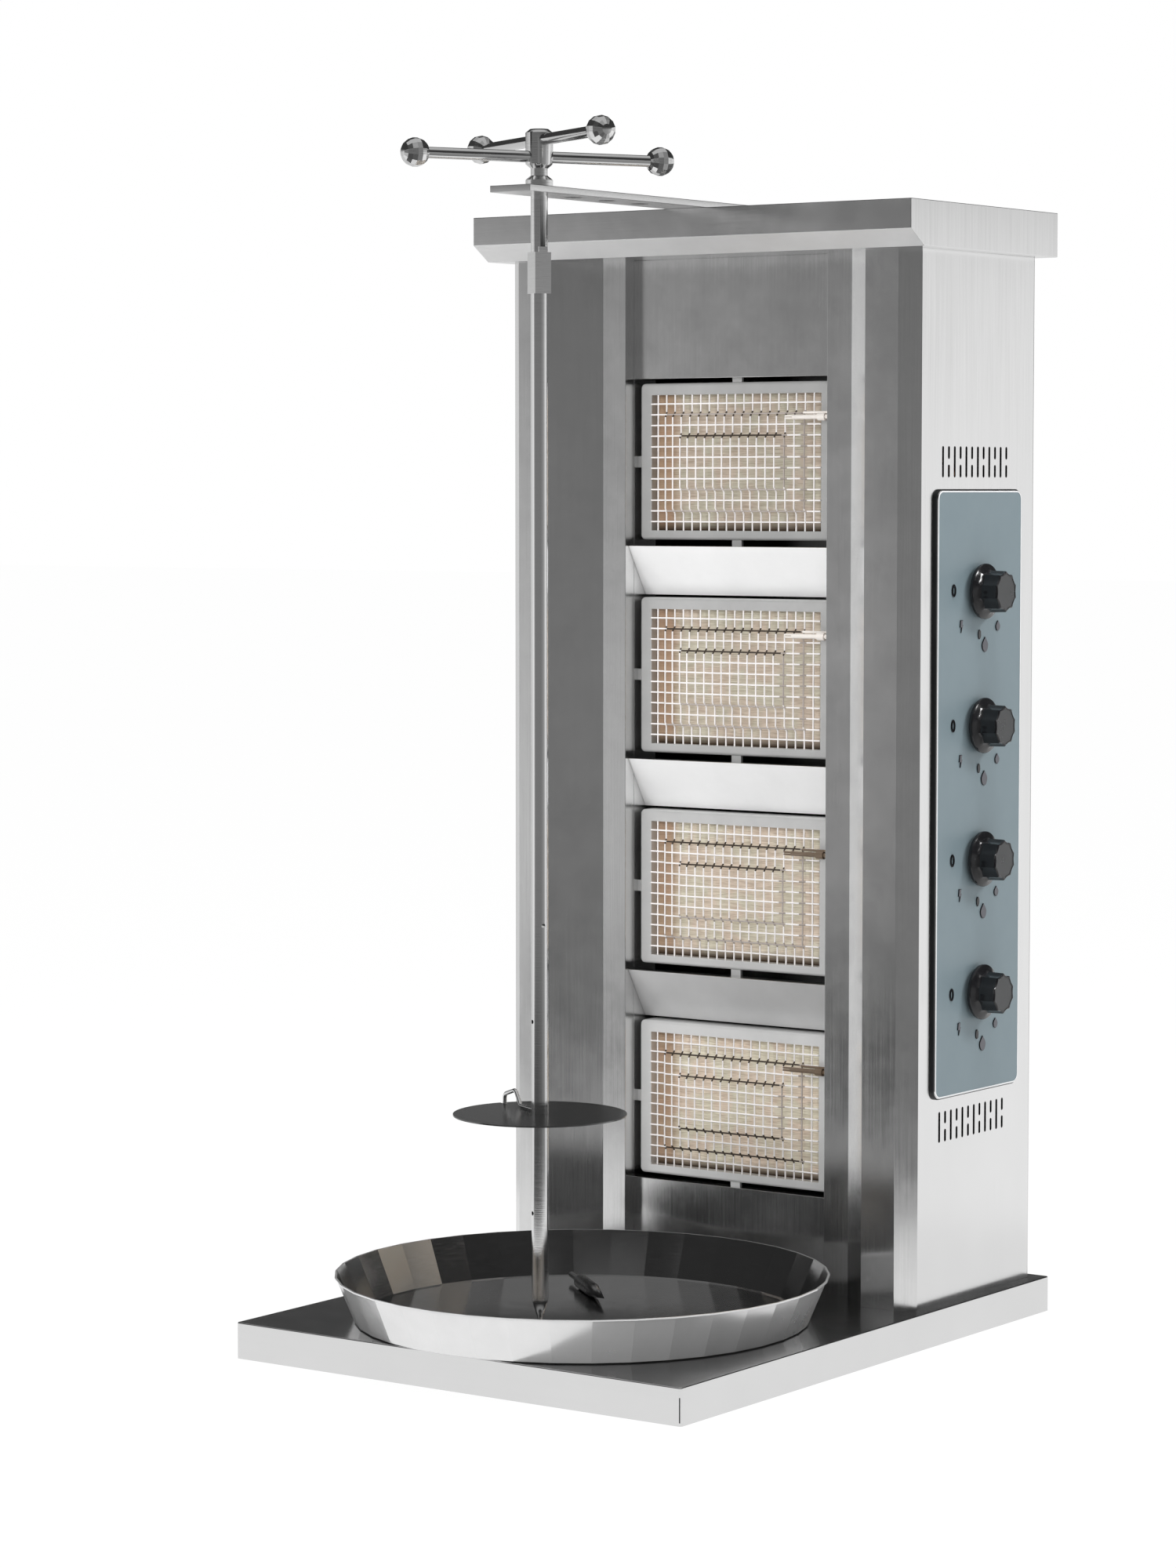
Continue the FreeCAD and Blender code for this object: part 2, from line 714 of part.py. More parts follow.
def make_cap():
    """The hood: a shell with an upright fascia, a slope below it, and a ledge that sits on the cabinet."""
    slope_tall = "(cap_tall - cap_fascia)"
    slope = "sqrt(cap_slope_deep ^ 2 + %s ^ 2)" % slope_tall
    fascia_foot = "%s - cap_fascia" % CAP_TOP
    outer = [(CAP_FRONT, CAP_TOP), (CAP_FRONT, fascia_foot), (CAP_FRONT + " + cap_slope_deep", CABINET_TOP),
             (BASE_BACK, CABINET_TOP), (BASE_BACK, CAP_TOP)]
    fascia_inner = "%s + cap_sheet * (%s - %s) / cap_slope_deep" % (fascia_foot, slope, slope_tall)
    slope_inner = "%s + cap_slope_deep + cap_sheet * (%s - cap_slope_deep) / %s" % (
        CAP_FRONT, slope, slope_tall)
    floor, roof = CABINET_TOP + " + cap_sheet", CAP_TOP + " - cap_sheet"
    inner = [(CAP_FRONT + " + cap_sheet", roof), (CAP_FRONT + " + cap_sheet", fascia_inner),
             (slope_inner, floor), (BASE_BACK + " - cap_sheet", floor), (BASE_BACK + " - cap_sheet", roof)]
    whole = prism("cap_block", "x", outer, *both("cap_wide / 2"))
    hollow = prism("cap_hollow", "x", inner, *both("cap_wide / 2 - cap_sheet"))
    mouth = box("cap_mouth", both("%s - cap_ledge" % WALL),
                (RECESS + " + cap_ledge", BACK + " - cap_ledge"), (CABINET_TOP, floor))
    tools = [hollow, mouth]
    for side in (-1, 1):
        for i, y in enumerate(FLANGE_YS):
            across = ("%d * %s" % (side, FLANGE_X), y)
            name = "cap_hole_%d_%d" % (side + 1, i)
            tools.append(screw_hole(name, "z", CABINET_TOP, floor, across))
    for i, y in enumerate(ARM_SCREWS):
        tools.append(rod("cap_arm_hole_%d" % i, "arm_screw_radius + screw_gap", "z", roof, CAP_TOP,
                         ("0", y)))
    node("cap_shell", cut("cap_holed", whole, tools))

    top = "%s - cap_sheet" % CAP_TOP
    reach = (CAP_FRONT + " + cap_channel_margin", BASE_BACK + " - cap_channel_margin")
    block = box("cap_channel_block", both("cap_channel_wide / 2"), reach,
                (top + " - cap_channel_tall", top))
    tools = [box("cap_channel_hollow", both("cap_channel_wide / 2 - cap_channel_sheet"), reach,
                 (top + " - cap_channel_tall", top + " - cap_channel_sheet"))]
    for i, y in enumerate(ARM_SCREWS):
        tools.append(rod("cap_channel_hole_%d" % i, "arm_screw_radius + screw_gap", "z",
                         top + " - cap_channel_sheet", top, ("0", y)))
    node("cap_channel", cut("cap_channel_holed", block, tools))


ARM_SCREWS = ["(%s - arm_tail - arm_screw_first - %d * arm_screw_pitch)" % (BACK, i)
              for i in range(ARM_SCREW_COUNT)]
ARM_HOLES = ["(%s + %d * arm_hole_pitch)" % (SPIT_Y, i) for i in range(ARM_HOLE_COUNT)]


def make_arm():
    """The flat bar that carries the spit, with its row of holes and countersunk screws."""
    bar = box("arm_bar", both("arm_wide / 2"), (SPIT_Y + " - arm_nose", BACK + " - arm_tail"),
              (CAP_TOP, ARM_TOP))
    tools = [rod("arm_hole_%d" % i, "shaft_radius + arm_gap", "z", CAP_TOP, ARM_TOP, ("0", y))
             for i, y in enumerate(ARM_HOLES)]
    screws = []
    for i, y in enumerate(ARM_SCREWS):
        sink = "%s - (arm_screw_head - arm_screw_radius)" % ARM_TOP
        tools.append(fuse("arm_sink_%d" % i, [
            rod("arm_sink_hole_%d" % i, "arm_screw_radius + screw_gap", "z", CAP_TOP, ARM_TOP, ("0", y)),
            cone("arm_sink_cone_%d" % i, "arm_screw_radius + screw_gap", "arm_screw_head + screw_gap", "z",
                 sink, ARM_TOP, ("0", y))]))
        nut_top = "%s - cap_sheet - cap_channel_sheet" % CAP_TOP
        nut_foot = nut_top + " - arm_nut_tall"
        screws.append(fuse("arm_screw_%d" % i, [
            rod("arm_shank_%d" % i, "arm_screw_radius", "z", nut_foot + " - arm_screw_end", ARM_TOP,
                ("0", y)),
            rod("arm_nut_%d" % i, "arm_nut_radius", "z", nut_foot, nut_top, ("0", y)),
            cone("arm_head_%d" % i, "arm_screw_radius", "arm_screw_head", "z", sink, ARM_TOP, ("0", y))]))
    node("spit_arm", cut("arm_holed", bar, tools))
    return screws


def make_screws(arm_screws):
    """Every screw of the cabinet and of the arm, each a solid of its own."""
    screws = list(arm_screws)
    rows = (("foot", "z", DECK + " + panel_sheet", -1, FLANGE_X, FLANGE_YS),
            ("top", "z", CABINET_TOP + " - panel_sheet", 1, FLANGE_X, FLANGE_YS),
            ("back", "y", BACK + " + panel_sheet", -1, BACK_X, BACK_ZS),
            ("front", "y", RECESS + " + panel_sheet", -1, FRONT_X, FRONT_ZS))
    for side in (-1, 1):
        for word, along, start, way, x, spots in rows:
            for i, spot in enumerate(spots):
                name = "%s_screw_%d_%d" % (word, side + 1, i)
                screws.append(screw(name, along, start, way, ("%d * %s" % (side, x), spot)))
    node("screws", group("screw_set", screws))


def make_rails():
    """Two angle strips behind the posts' folds, to which the burners' lugs are welded."""
    rails = []
    span = (LOWER_PANEL, UPPER_PANEL)
    for side in (-1, 1):
        flat = ("%d * %s" % (side, WEB), "%d * (%s + front_fold)" % (side, WEB))
        leg = ("%d * %s" % (side, WEB), "%d * (%s + rail_sheet)" % (side, WEB))
        name = "rail_%d" % (side + 1)
        rails.append(fuse(name, [
            box(name + "_flat", flat[::side], (RECESS, RECESS + " + rail_sheet"), span),
            box(name + "_leg", leg[::side], (RECESS, RECESS + " + rail_deep"), span)]))
    node("burner_rails", group("rail_set", rails))


def make_frame(i):
    """A burner's pressed frame: a rounded ring with a lip in front of the tile and a lug on each side."""
    middle = burner_z(i)
    name = "burner_frame_%d" % (i + 1)
    tall = ("%s - frame_tall / 2" % middle, "%s + frame_tall / 2" % middle)
    body = prism(name + "_block", "y", rectangle(both("frame_wide / 2"), tall), BURNER_Y, FRAME_BACK)
    rounded(body, name + "_corners", "frame_corner", runs_along("y"))
    doc.recompute()
    rounded(body, name + "_pillow", "frame_pillow", lies_at("Y", body.Shape.BoundBox.YMin))
    open_z = "%s - opening_drop" % middle
    opening = box(name + "_opening", both("opening_wide / 2"), (BURNER_Y, BURNER_Y + " + lip_deep"),
                  (open_z + " - opening_tall / 2", open_z + " + opening_tall / 2"))
    seat = box(name + "_seat", both(TILE_X + " + tile_gap"), (BURNER_Y + " + lip_deep", FRAME_BACK),
               ("%s - %s - tile_gap" % (open_z, TILE_Z), "%s + %s + tile_gap" % (open_z, TILE_Z)))
    ring = cut(name + "_ring", body, [opening, seat])
    lug = both("lug_wide / 2")
    lug_y = (BURNER_Y + " + frame_pillow", BURNER_Y + " + frame_pillow + lug_deep")
    lug_z = (middle + " - lug_wide / 2", middle + " + lug_wide / 2")
    lugs = [box(name + "_right_lug", ("frame_wide / 2", WEB), lug_y, lug_z),
            box(name + "_left_lug", ("-" + WEB, "-frame_wide / 2"), lug_y, lug_z)]
    if i == BURNERS[0]:
        lugs.append(box(name + "_top_lug", lug, lug_y, (tall[1], UPPER_PANEL)))
    if i == BURNERS[-1]:
        lugs.append(box(name + "_bottom_lug", lug, lug_y, (LOWER_PANEL, tall[0])))
    else:
        lugs.append(box(name + "_bottom_lug", lug, lug_y, (tall[0] + " - deflector_gap", tall[0])))
    node(name, fuse(name + "_lugged", [ring] + lugs))


TILE_X = "(opening_wide / 2 + tile_ledge)"
TILE_Z = "(opening_tall / 2 + tile_ledge)"


def make_tile(i):
    """The ceramic tile that glows, held between the frame's lip and the plenum."""
    name = "burner_tile_%d" % (i + 1)
    middle = "%s - opening_drop" % burner_z(i)
    node(name, box(name + "_block", both(TILE_X), (BURNER_Y + " + lip_deep", FRAME_BACK),
                   ("%s - %s" % (middle, TILE_Z), "%s + %s" % (middle, TILE_Z))))


def make_plenum(i):
    """A gas box behind the tile, open to it, and the mixing tube with a flared mouth welded to its end."""
    name = "burner_plenum_%d" % (i + 1)
    middle = burner_z(i)
    back = "%s + plenum_deep" % FRAME_BACK
    wide, tall = "plenum_wide / 2", "plenum_tall / 2"
    axis = ("%s - mixer_mouth" % back, middle)
    mouth = "mixer_reach + mixer_flare"
    levels = ("%s - %s" % (middle, tall), "%s + %s" % (middle, tall))
    bore = "mixer_radius - mixer_wall"
    hollow = [box(name + "_hollow", both(wide + " - plenum_sheet"), (FRAME_BACK, back + " - plenum_sheet"),
                  (levels[0] + " + plenum_sheet", levels[1] + " - plenum_sheet")),
              rod(name + "_hole", bore, "x", wide + " - 2 * plenum_sheet", wide + " + plenum_sheet", axis)]
    sheets = cut(name + "_sheets", box(name + "_box", both(wide), (FRAME_BACK, back), levels),
                 [fuse(name + "_space", hollow)])
    outside = [rod(name + "_pipe", "mixer_radius", "x", wide, "mixer_reach", axis),
               cone(name + "_flare", "mixer_radius", "mixer_mouth", "x", "mixer_reach", mouth, axis)]
    inside = [rod(name + "_bore", bore, "x", wide + " - plenum_sheet", "mixer_reach", axis),
              cone(name + "_throat", bore, "mixer_mouth - mixer_wall", "x", "mixer_reach", mouth, axis)]
    tube = cut(name + "_tube", fuse(name + "_outside", outside), [fuse(name + "_inside", inside)])
    node(name, group(name + "_set", [sheets, tube]))


def make_deflectors():
    """Bent sheets between the burners: a shelf in front, then a slope back and down."""
    front = "%s - deflector_ahead" % RECESS
    length = "sqrt(deflector_run ^ 2 + deflector_drop ^ 2)"
    across = "deflector_sheet * %s / deflector_run" % length
    shelf, slope = front + " + deflector_shelf", front + " + deflector_run"
    sheets = []
    for i in BURNERS[:-1]:
        top = "%s - frame_tall / 2 - deflector_gap" % burner_z(i)
        foot = "%s - deflector_drop" % top
        inner_y = "%s + deflector_sheet * (%s + deflector_run) / deflector_drop" % (front, length)
        outline = [(shelf, top), (front, top), (slope, foot), (slope, "%s + %s" % (foot, across)),
                   (inner_y, top + " - deflector_sheet"), (shelf, top + " - deflector_sheet")]
        sheets.append(prism("deflector_%d" % (i + 1), "x", outline, *both(WEB)))
    node("deflectors", group("deflector_set", sheets))


def make_probe(i):
    """Spark rod and flame sensor in front of a burner, on one bracket behind the post."""
    name = "flame_probe_%d" % (i + 1)
    z = "%s + probe_high" % burner_z(i)
    sheath = "probe_tip + probe_prong_long"
    collar = "%s + probe_sheath_long" % sheath
    tail = "%s + probe_collar_long + probe_tail" % collar
    bracket = (WEB + " + 2 * panel_sheet", WEB + " + 2 * panel_sheet + bracket_sheet")
    pieces = [rod(name + "_rod", "probe_rod", "x", sheath, tail, (PROBE_Y, z)),
              rod(name + "_collar", "probe_collar", "x", collar, collar + " + probe_collar_long",
                  (PROBE_Y, z)),
              rod(name + "_sensor", "sensor_rod", "x", "probe_tip + sensor_back", tail,
                  (PROBE_Y, z + " + sensor_up")),
              box(name + "_bracket", bracket, (WEB_FRONT + " + 2 * panel_sheet", RECESS + " - panel_sheet"),
                  (z + " - bracket_tall / 2", z + " + bracket_tall / 2"))]
    for side in (-1, 1):
        offset = "%s + %d * probe_rod / 2" % (z, side)
        pieces.append(rod("%s_prong_%d" % (name, side + 1), "probe_prong", "x", "probe_tip",
                          sheath + " + probe_prong", (PROBE_Y, offset)))
    node(name, fuse(name + "_joined", pieces))


def net_shape():
    """A burner's net: one holed face at each of three levels, and the short wires that join them."""
    wire, step = read("mesh_wire"), read("mesh_step")
    wide, tall = read("opening_wide") / 2, read("opening_tall") / 2
    half_x = (NET_COLUMNS - 1) / 2 * read("mesh_pitch_x")
    half_z = (NET_ROWS - 1) / 2 * read("mesh_pitch_z")
    columns = [-wide] + [i * read("mesh_pitch_x") - half_x for i in range(NET_COLUMNS)] + [wide]
    rows = [-tall] + [i * read("mesh_pitch_z") - half_z for i in range(NET_ROWS)] + [tall]

    def gap(lines, i):
        """The space between two neighbouring lines; the first and the last line are the net's edge."""
        last = i == len(lines) - 2
        return lines[i] + (wire / 2 if i else 0), lines[i + 1] - (0 if last else wire / 2)

    def rectangle_wire(x, z):
        corners = [(x[0], z[0]), (x[1], z[0]), (x[1], z[1]), (x[0], z[1]), (x[0], z[0])]
        return Part.makePolygon([FreeCAD.Vector(a, 0, b) for a, b in corners])

    def level(inset, hole, depth):
        """One level: its outer lines, the inner part that is pressed further, and its depth."""
        grow = wire / 2 if inset else 0
        outer = rectangle_wire((columns[inset] - grow, columns[-1 - inset] + grow),
                               (rows[inset] - grow, rows[-1 - inset] + grow))
        wires = []
        for i in range(inset, len(columns) - 1 - inset):
            for j in range(inset, len(rows) - 1 - inset):
                inside = hole <= i < len(columns) - 1 - hole and hole <= j < len(rows) - 1 - hole
                if hole and inside:
                    continue
                wires.append(rectangle_wire(gap(columns, i), gap(rows, j)))
        if hole:
            wires.append(rectangle_wire((columns[hole] + wire / 2, columns[-1 - hole] - wire / 2),
                                        (rows[hole] + wire / 2, rows[-1 - hole] - wire / 2)))
        face = Part.Face([outer] + wires, "Part::FaceMakerBullseye")
        plate = face.extrude(FreeCAD.Vector(0, wire, 0))
        plate.translate(FreeCAD.Vector(0, -depth, 0))
        return plate

    insets = (0,) + NET_STEPS + (0,)
    pieces = [level(insets[i], insets[i + 1], i * step) for i in range(len(NET_STEPS) + 1)]
    for inset, depth in ((inset, (i + 1) * step) for i, inset in enumerate(NET_STEPS)):
        spots = [(x, z) for x in columns[inset:-inset] for z in (rows[inset], rows[-1 - inset])]
        spots += [(x, z) for x in (columns[inset], columns[-1 - inset]) for z in rows[inset + 1:-1 - inset]]
        for x, z in spots:
            corner = FreeCAD.Vector(x - wire / 2, -depth, z - wire / 2)
            pieces.append(Part.makeBox(wire, step + wire, wire, corner))
    return pieces[0].fuse(pieces[1:]).removeSplitter()


def make_screens():
    """The nets in front of the tiles, one per burner."""
    net = net_shape()
    for i in BURNERS:
        name = "burner_screen_%d" % (i + 1)
        screen = doc.addObject("Part::Feature", name)
        screen.Shape = net
        node(name, place(screen, y=BURNER_Y, z="%s - opening_drop" % burner_z(i)))


def make_control_panel():
    """The thick plate on the right wall through which the spindles come."""
    ends_y = ("%s - control_wide / 2" % CONTROL_Y, "%s + control_wide / 2" % CONTROL_Y)
    ends_z = ("%s - control_tall / 2" % CONTROL_Z, "%s + control_tall / 2" % CONTROL_Z)
    body = prism("control_plate", "x", rectangle(ends_y, ends_z), WALL, CONTROL_FACE)
    rounded(body, "control_corners", "control_corner", runs_along("x"))
    tools = [rod("control_hole_%d" % i, "spindle_hole", "x", WALL, CONTROL_FACE, (CONTROL_Y, knob_z(i)))
             for i in BURNERS]
    node("control_panel", cut("control_holed", body, tools))


def make_knob(i):
    """A turned knob with a bell-shaped skirt, a fluted grip, and a hub that holds the spindle."""
    name = "knob_%d" % (i + 1)
    foot = "%s + knob_gap" % CONTROL_FACE
    face = "%s + knob_deep" % foot
    waist = "%s + skirt_thick" % foot
    grip = waist + " + 2 * skirt_thick"
    floor = face + " - 2 * knob_wall"
    outside = [(foot, "0"), (foot, "skirt_radius"), (waist, "skirt_radius"),
               (waist + " + skirt_thick", "grip_foot"), (grip, "grip_radius"),
               (face + " - knob_round", "grip_radius"), (face, "grip_radius - knob_round"), (face, "0")]
    grip_inner = "grip_radius - knob_wall - flute_depth"
    hollow = [(foot, "hub_radius"), (foot, "skirt_radius - knob_wall"),
              (waist + " + skirt_thick - knob_wall", "grip_foot - knob_wall"),
              (grip + " - knob_wall", grip_inner), (floor, grip_inner), (floor, "hub_radius")]
    body = turned(name + "_outside", "x", outside)
    tools = [turned(name + "_hollow", "x", hollow),
             rod(name + "_bore", "spindle_radius + running_gap", "x", foot, floor, ("0", "0"))]
    reach = "(grip_radius + flute_radius - flute_depth)"
    for j in range(FLUTES):
        angle = 360.0 * j / FLUTES
        across = ("%s * cos(%.1f)" % (reach, angle), "%s * sin(%.1f)" % (reach, angle))
        tools.append(rod("%s_flute_%d" % (name, j), "flute_radius", "x", grip, face, across))
    made = cut(name + "_cut", body, tools)
    node(name, place(made, y=CONTROL_Y, z=knob_z(i)))


def make_valve(i):
    """A valve body with its inlet and outlet, the plug that turns in it, and the spindle that turns that."""
    z = knob_z(i)
    way = 1 if i < 2 else -1
    back = "%s - valve_long" % VALVE_FRONT
    plug_back = "%s + plug_end_wall + plug_room" % back
    plug_front = "%s + plug_long" % plug_back
    name = "gas_valve_%d" % (i + 1)
    rise = "%s + %d * (valve_radius + outlet_rise)" % (z, way)
    outlet = (z, rise)[::way]
    outside = [rod(name + "_barrel", "valve_radius", "x", back, VALVE_FRONT, (CONTROL_Y, z)),
               rod(name + "_inlet", "valve_boss", "y", CONTROL_Y, MANIFOLD_FRONT, (VALVE_MIDDLE, z)),
               rod(name + "_outlet", "outlet_boss", "z", outlet[0], outlet[1], (VALVE_MIDDLE, CONTROL_Y))]
    inside = [rod(name + "_seat", "plug_radius + running_gap", "x", plug_back + " - plug_room",
                  plug_front + " + plug_room", (CONTROL_Y, z)),
              rod(name + "_neck", "spindle_radius + running_gap", "x", plug_front, VALVE_FRONT,
                  (CONTROL_Y, z)),
              rod(name + "_in", "port_radius", "y", CONTROL_Y, MANIFOLD_FRONT, (VALVE_MIDDLE, z)),
              rod(name + "_out", "port_radius", "z", outlet[0], outlet[1], (VALVE_MIDDLE, CONTROL_Y))]
    node(name, cut(name + "_bored", fuse(name + "_outside", outside), [fuse(name + "_inside", inside)]))

    half = "(drive_square / 2 + running_gap)"
    plug = rod("plug_%d_barrel" % i, "plug_radius", "x", plug_back, plug_front, (CONTROL_Y, z))
    drive = box("plug_%d_drive" % i, (plug_front + " - drive_deep", plug_front),
                ("%s - %s" % (CONTROL_Y, half), "%s + %s" % (CONTROL_Y, half)),
                ("%s - %s" % (z, half), "%s + %s" % (z, half)))
    port = rod("plug_%d_port" % i, "plug_port", "y", CONTROL_Y + " - plug_radius",
               CONTROL_Y + " + plug_radius", (plug_back + " + port_radius", z))
    node("valve_plug_%d" % (i + 1), cut("plug_%d_cut" % i, plug, [drive, port]))

    tip = "%s - drive_deep + running_gap + knob_push" % plug_front
    shoulder = "%s + plug_room + knob_push" % plug_front
    end = "%s + knob_gap + knob_deep - 2 * knob_wall" % CONTROL_FACE
    square = "drive_square / 2"
    node("valve_spindle_%d" % (i + 1), fuse("spindle_%d" % i, [
        box("spindle_%d_square" % i, (tip, shoulder),
            ("%s - %s" % (CONTROL_Y, square), "%s + %s" % (CONTROL_Y, square)),
            ("%s - %s" % (z, square), "%s + %s" % (z, square))),
        rod("spindle_%d_round" % i, "spindle_radius", "x", shoulder, end, (CONTROL_Y, z))]))


def make_manifold():
    """The square gas pipe behind the valves, strapped to the wall, with the inlet stub through the back."""
    front, back = MANIFOLD_FRONT, "%s + manifold_wide" % MANIFOLD_FRONT
    wide = ("%s - manifold_wide / 2" % VALVE_MIDDLE, "%s + manifold_wide / 2" % VALVE_MIDDLE)
    tall = ("%s - manifold_above" % knob_z(3), "%s + manifold_above" % knob_z(0))
    inlet = (VALVE_MIDDLE, INLET_Z)
    outside = [box("manifold_block", wide, (front, back), tall),
               rod("inlet_pipe_run", "inlet_pipe", "y", back, BACK + " + inlet_shoulder", inlet),
               rod("inlet_stub", "inlet_radius", "y", BACK + " + inlet_shoulder", BACK + " + inlet_reach",
                   inlet)]
    for i, z in enumerate((knob_z(1), knob_z(2))):
        outside.append(box("strap_%d" % i, (wide[1], WALL + " - panel_sheet"),
                           (back + " - strap_thick", back),
                           (z + " - strap_tall / 2", z + " + strap_tall / 2")))
    inside = [box("manifold_hollow", (wide[0] + " + manifold_wall", wide[1] + " - manifold_wall"),
                  (front + " + manifold_wall", back + " - manifold_wall"),
                  (tall[0] + " + manifold_wall", tall[1] + " - manifold_wall")),
              rod("inlet_bore", "inlet_bore", "y", back + " - manifold_wall", BACK + " + inlet_reach",
                  inlet)]
    for i in BURNERS:
        inside.append(rod("manifold_port_%d" % i, "port_radius", "y", front, front + " + manifold_wall",
                          (VALVE_MIDDLE, knob_z(i))))
    whole = fuse("manifold_outside", outside)
    node("gas_manifold", cut("manifold_bored", whole, [fuse("manifold_inside", inside)]))


def pipe_run(name, radius, i):
    """A feed pipe's length from its valve to its injector: upright, a quarter bend, then level."""
    way = 1 if i < 2 else -1
    top = burner_z(i)
    start = "%s + %d * (valve_radius + outlet_rise)" % (knob_z(i), way)
    bend = "%s - %d * pipe_bend" % (top, way)
    upright = (start, bend)[::way]
    centre_x = "%s - pipe_bend" % VALVE_MIDDLE
    quarter = doc.addObject("Part::Torus", name + "_bend")
    tilt = FreeCAD.Rotation(FreeCAD.Vector(1, 0, 0), 90 * way)
    quarter.Placement = FreeCAD.Placement(FreeCAD.Vector(), tilt)
    quarter.Angle3 = 90
    quarter.setExpression("Radius1", sized("pipe_bend"))
    quarter.setExpression("Radius2", sized(radius))
    place(quarter, centre_x, CONTROL_Y, bend)
    return [rod(name + "_upright", radius, "z", upright[0], upright[1], (VALVE_MIDDLE, CONTROL_Y)), quarter,
            rod(name + "_level", radius, "x", INJECTOR_X, centre_x, (CONTROL_Y, top))]


INJECTOR_X = "(%s - pipe_bend - pipe_level)" % VALVE_MIDDLE


def make_feed_pipes():
    """Four bent pipes from the valves, each with an injector that points into a mixing tube."""
    pipes = []
    for i in BURNERS:
        name = "feed_pipe_%d" % (i + 1)
        across = (CONTROL_Y, burner_z(i))
        nut = "%s - injector_long" % INJECTOR_X
        outside = pipe_run(name, "pipe_radius", i) + [
            rod(name + "_injector", "injector_radius", "x", nut, INJECTOR_X, across),
            rod(name + "_nozzle", "nozzle_radius", "x", nut + " - nozzle_long", nut, across)]
        inside = pipe_run(name + "_inner", "pipe_bore", i) + [
            rod(name + "_jet", "jet_radius", "x", nut + " - nozzle_long", INJECTOR_X, across)]
        pipes.append(cut(name, fuse(name + "_outside", outside), [fuse(name + "_inside", inside)]))
    node("feed_pipes", group("feed_pipe_set", pipes))


def crossing(name, radius, reach, z, angle):
    """A level cylinder through the spit's axis, at a height and an angle from +X."""
    made = doc.addObject("Part::Cylinder", name)
    turn = FreeCAD.Rotation(FreeCAD.Vector(0, 0, 1), angle).multiply(TURNS["x"])
    made.Placement = FreeCAD.Placement(FreeCAD.Vector(), turn)
    made.setExpression("Radius", sized(radius))
    made.setExpression("Height", sized("2 * (%s)" % reach))
    place(made, "-(%s) * cos(%.2f)" % (reach, angle), "-(%s) * sin(%.2f)" % (reach, angle), z)
    return made


COLLAR_FOOT = "(%s + washer_thick)" % ARM_TOP
HUB_FOOT = "(%s + collar_tall + collar_slope + neck_tall + neck_slope)" % COLLAR_FOOT
CROWN = "(%s + hub_tall + hub_crown)" % HUB_FOOT
BAR_LEVELS = {"lower": "(%s + hub_tall - lower_bar_down)" % HUB_FOOT,
              "upper": "(%s + hub_tall - lower_bar_down + bar_spacing)" % HUB_FOOT}
PIN_Z = "(cross_hole_low + cross_hole_pitch)"
DISC_FOOT = "(%s + pin_wire + loose_gap)" % PIN_Z


def make_spit():
    """The spit: point, round bar with cross holes, square length, collar, neck and hub."""
    angle = read("bar_angle")
    tip = "%s + tip_above_pan" % PAN_FLOOR
    profile = [(tip, "0"), (tip + " + cone_tall", "shaft_radius"), (COLLAR_FOOT, "shaft_radius"),
               (COLLAR_FOOT, "collar_radius"), (COLLAR_FOOT + " + collar_tall", "collar_radius"),
               (COLLAR_FOOT + " + collar_tall + collar_slope", "shaft_radius"),
               (COLLAR_FOOT + " + collar_tall + collar_slope + neck_tall", "shaft_radius"),
               (HUB_FOOT, "collar_radius"), (HUB_FOOT + " + hub_tall", "collar_radius"),
               (CROWN, "collar_radius - crown_slope"), (CROWN, "0")]
    bar = turned("spit_turned", "z", profile)
    top = "%s - block_below + block_tall" % CAP_TOP
    half = "block_wide / 2"
    block = prism("spit_block", "z", rectangle(both(half), both(half)), top + " - block_tall", top)
    tongue = prism("spit_tongue", "z", rectangle((half + " - tongue_thick", half), both("tongue_wide / 2")),
                   top, top + " + tongue_tall")
    for piece in (block, tongue):
        place(piece, turn=angle)
    tools = [crossing("cross_hole_%d" % i, "pin_wire + arm_gap", "2 * shaft_radius",
                      "cross_hole_low + %d * cross_hole_pitch" % i, angle + 90 * (1 - i % 2))
             for i in range(CROSS_HOLES)]
    tools += [crossing("hub_hole_%d" % i, "bar_radius + running_gap", "2 * collar_radius",
                       BAR_LEVELS[level], angle + 90 * (1 - i)) for i, level in enumerate(BAR_LEVELS)]
    spit = cut("spit_drilled", fuse("spit_joined", [bar, block, tongue]), tools)
    node("spit_shaft", place(spit, y=SPIT_Y))
    washer = cut("washer_ring", rod("washer_disc", "collar_radius", "z", ARM_TOP, COLLAR_FOOT, ("0", "0")),
                 [rod("washer_hole", "shaft_radius + running_gap", "z", ARM_TOP, COLLAR_FOOT, ("0", "0"))])
    node("thrust_washer", place(washer, y=SPIT_Y))


def make_handles():
    """Two bars through the hub, one above the other and square to it, with a ball on each end."""
    angle = read("bar_angle")
    bars, balls = [], []
    for i, level in enumerate(BAR_LEVELS):
        turn = angle + 90 * (1 - i)
        bars.append(crossing("handle_bar_" + level, "bar_radius", "bar_reach", BAR_LEVELS[level], turn))
        for side in (-1, 1):
            name = "ball_%s_%d" % (level, side + 1)
            ball = doc.addObject("Part::Sphere", name)
            ball.setExpression("Radius", sized("ball_radius"))
            place(ball, "%d * bar_reach * cos(%.2f)" % (side, turn),
                  "%d * bar_reach * sin(%.2f)" % (side, turn), BAR_LEVELS[level])
            bore = crossing(name + "_bore", "bar_radius + running_gap", "bar_reach", BAR_LEVELS[level],
                            turn)
            balls.append(cut(name + "_bored", ball, [bore]))
    node("handle_bars", place(group("handle_bar_set", bars), y=SPIT_Y))
    node("handle_balls", place(group("handle_ball_set", balls), y=SPIT_Y))


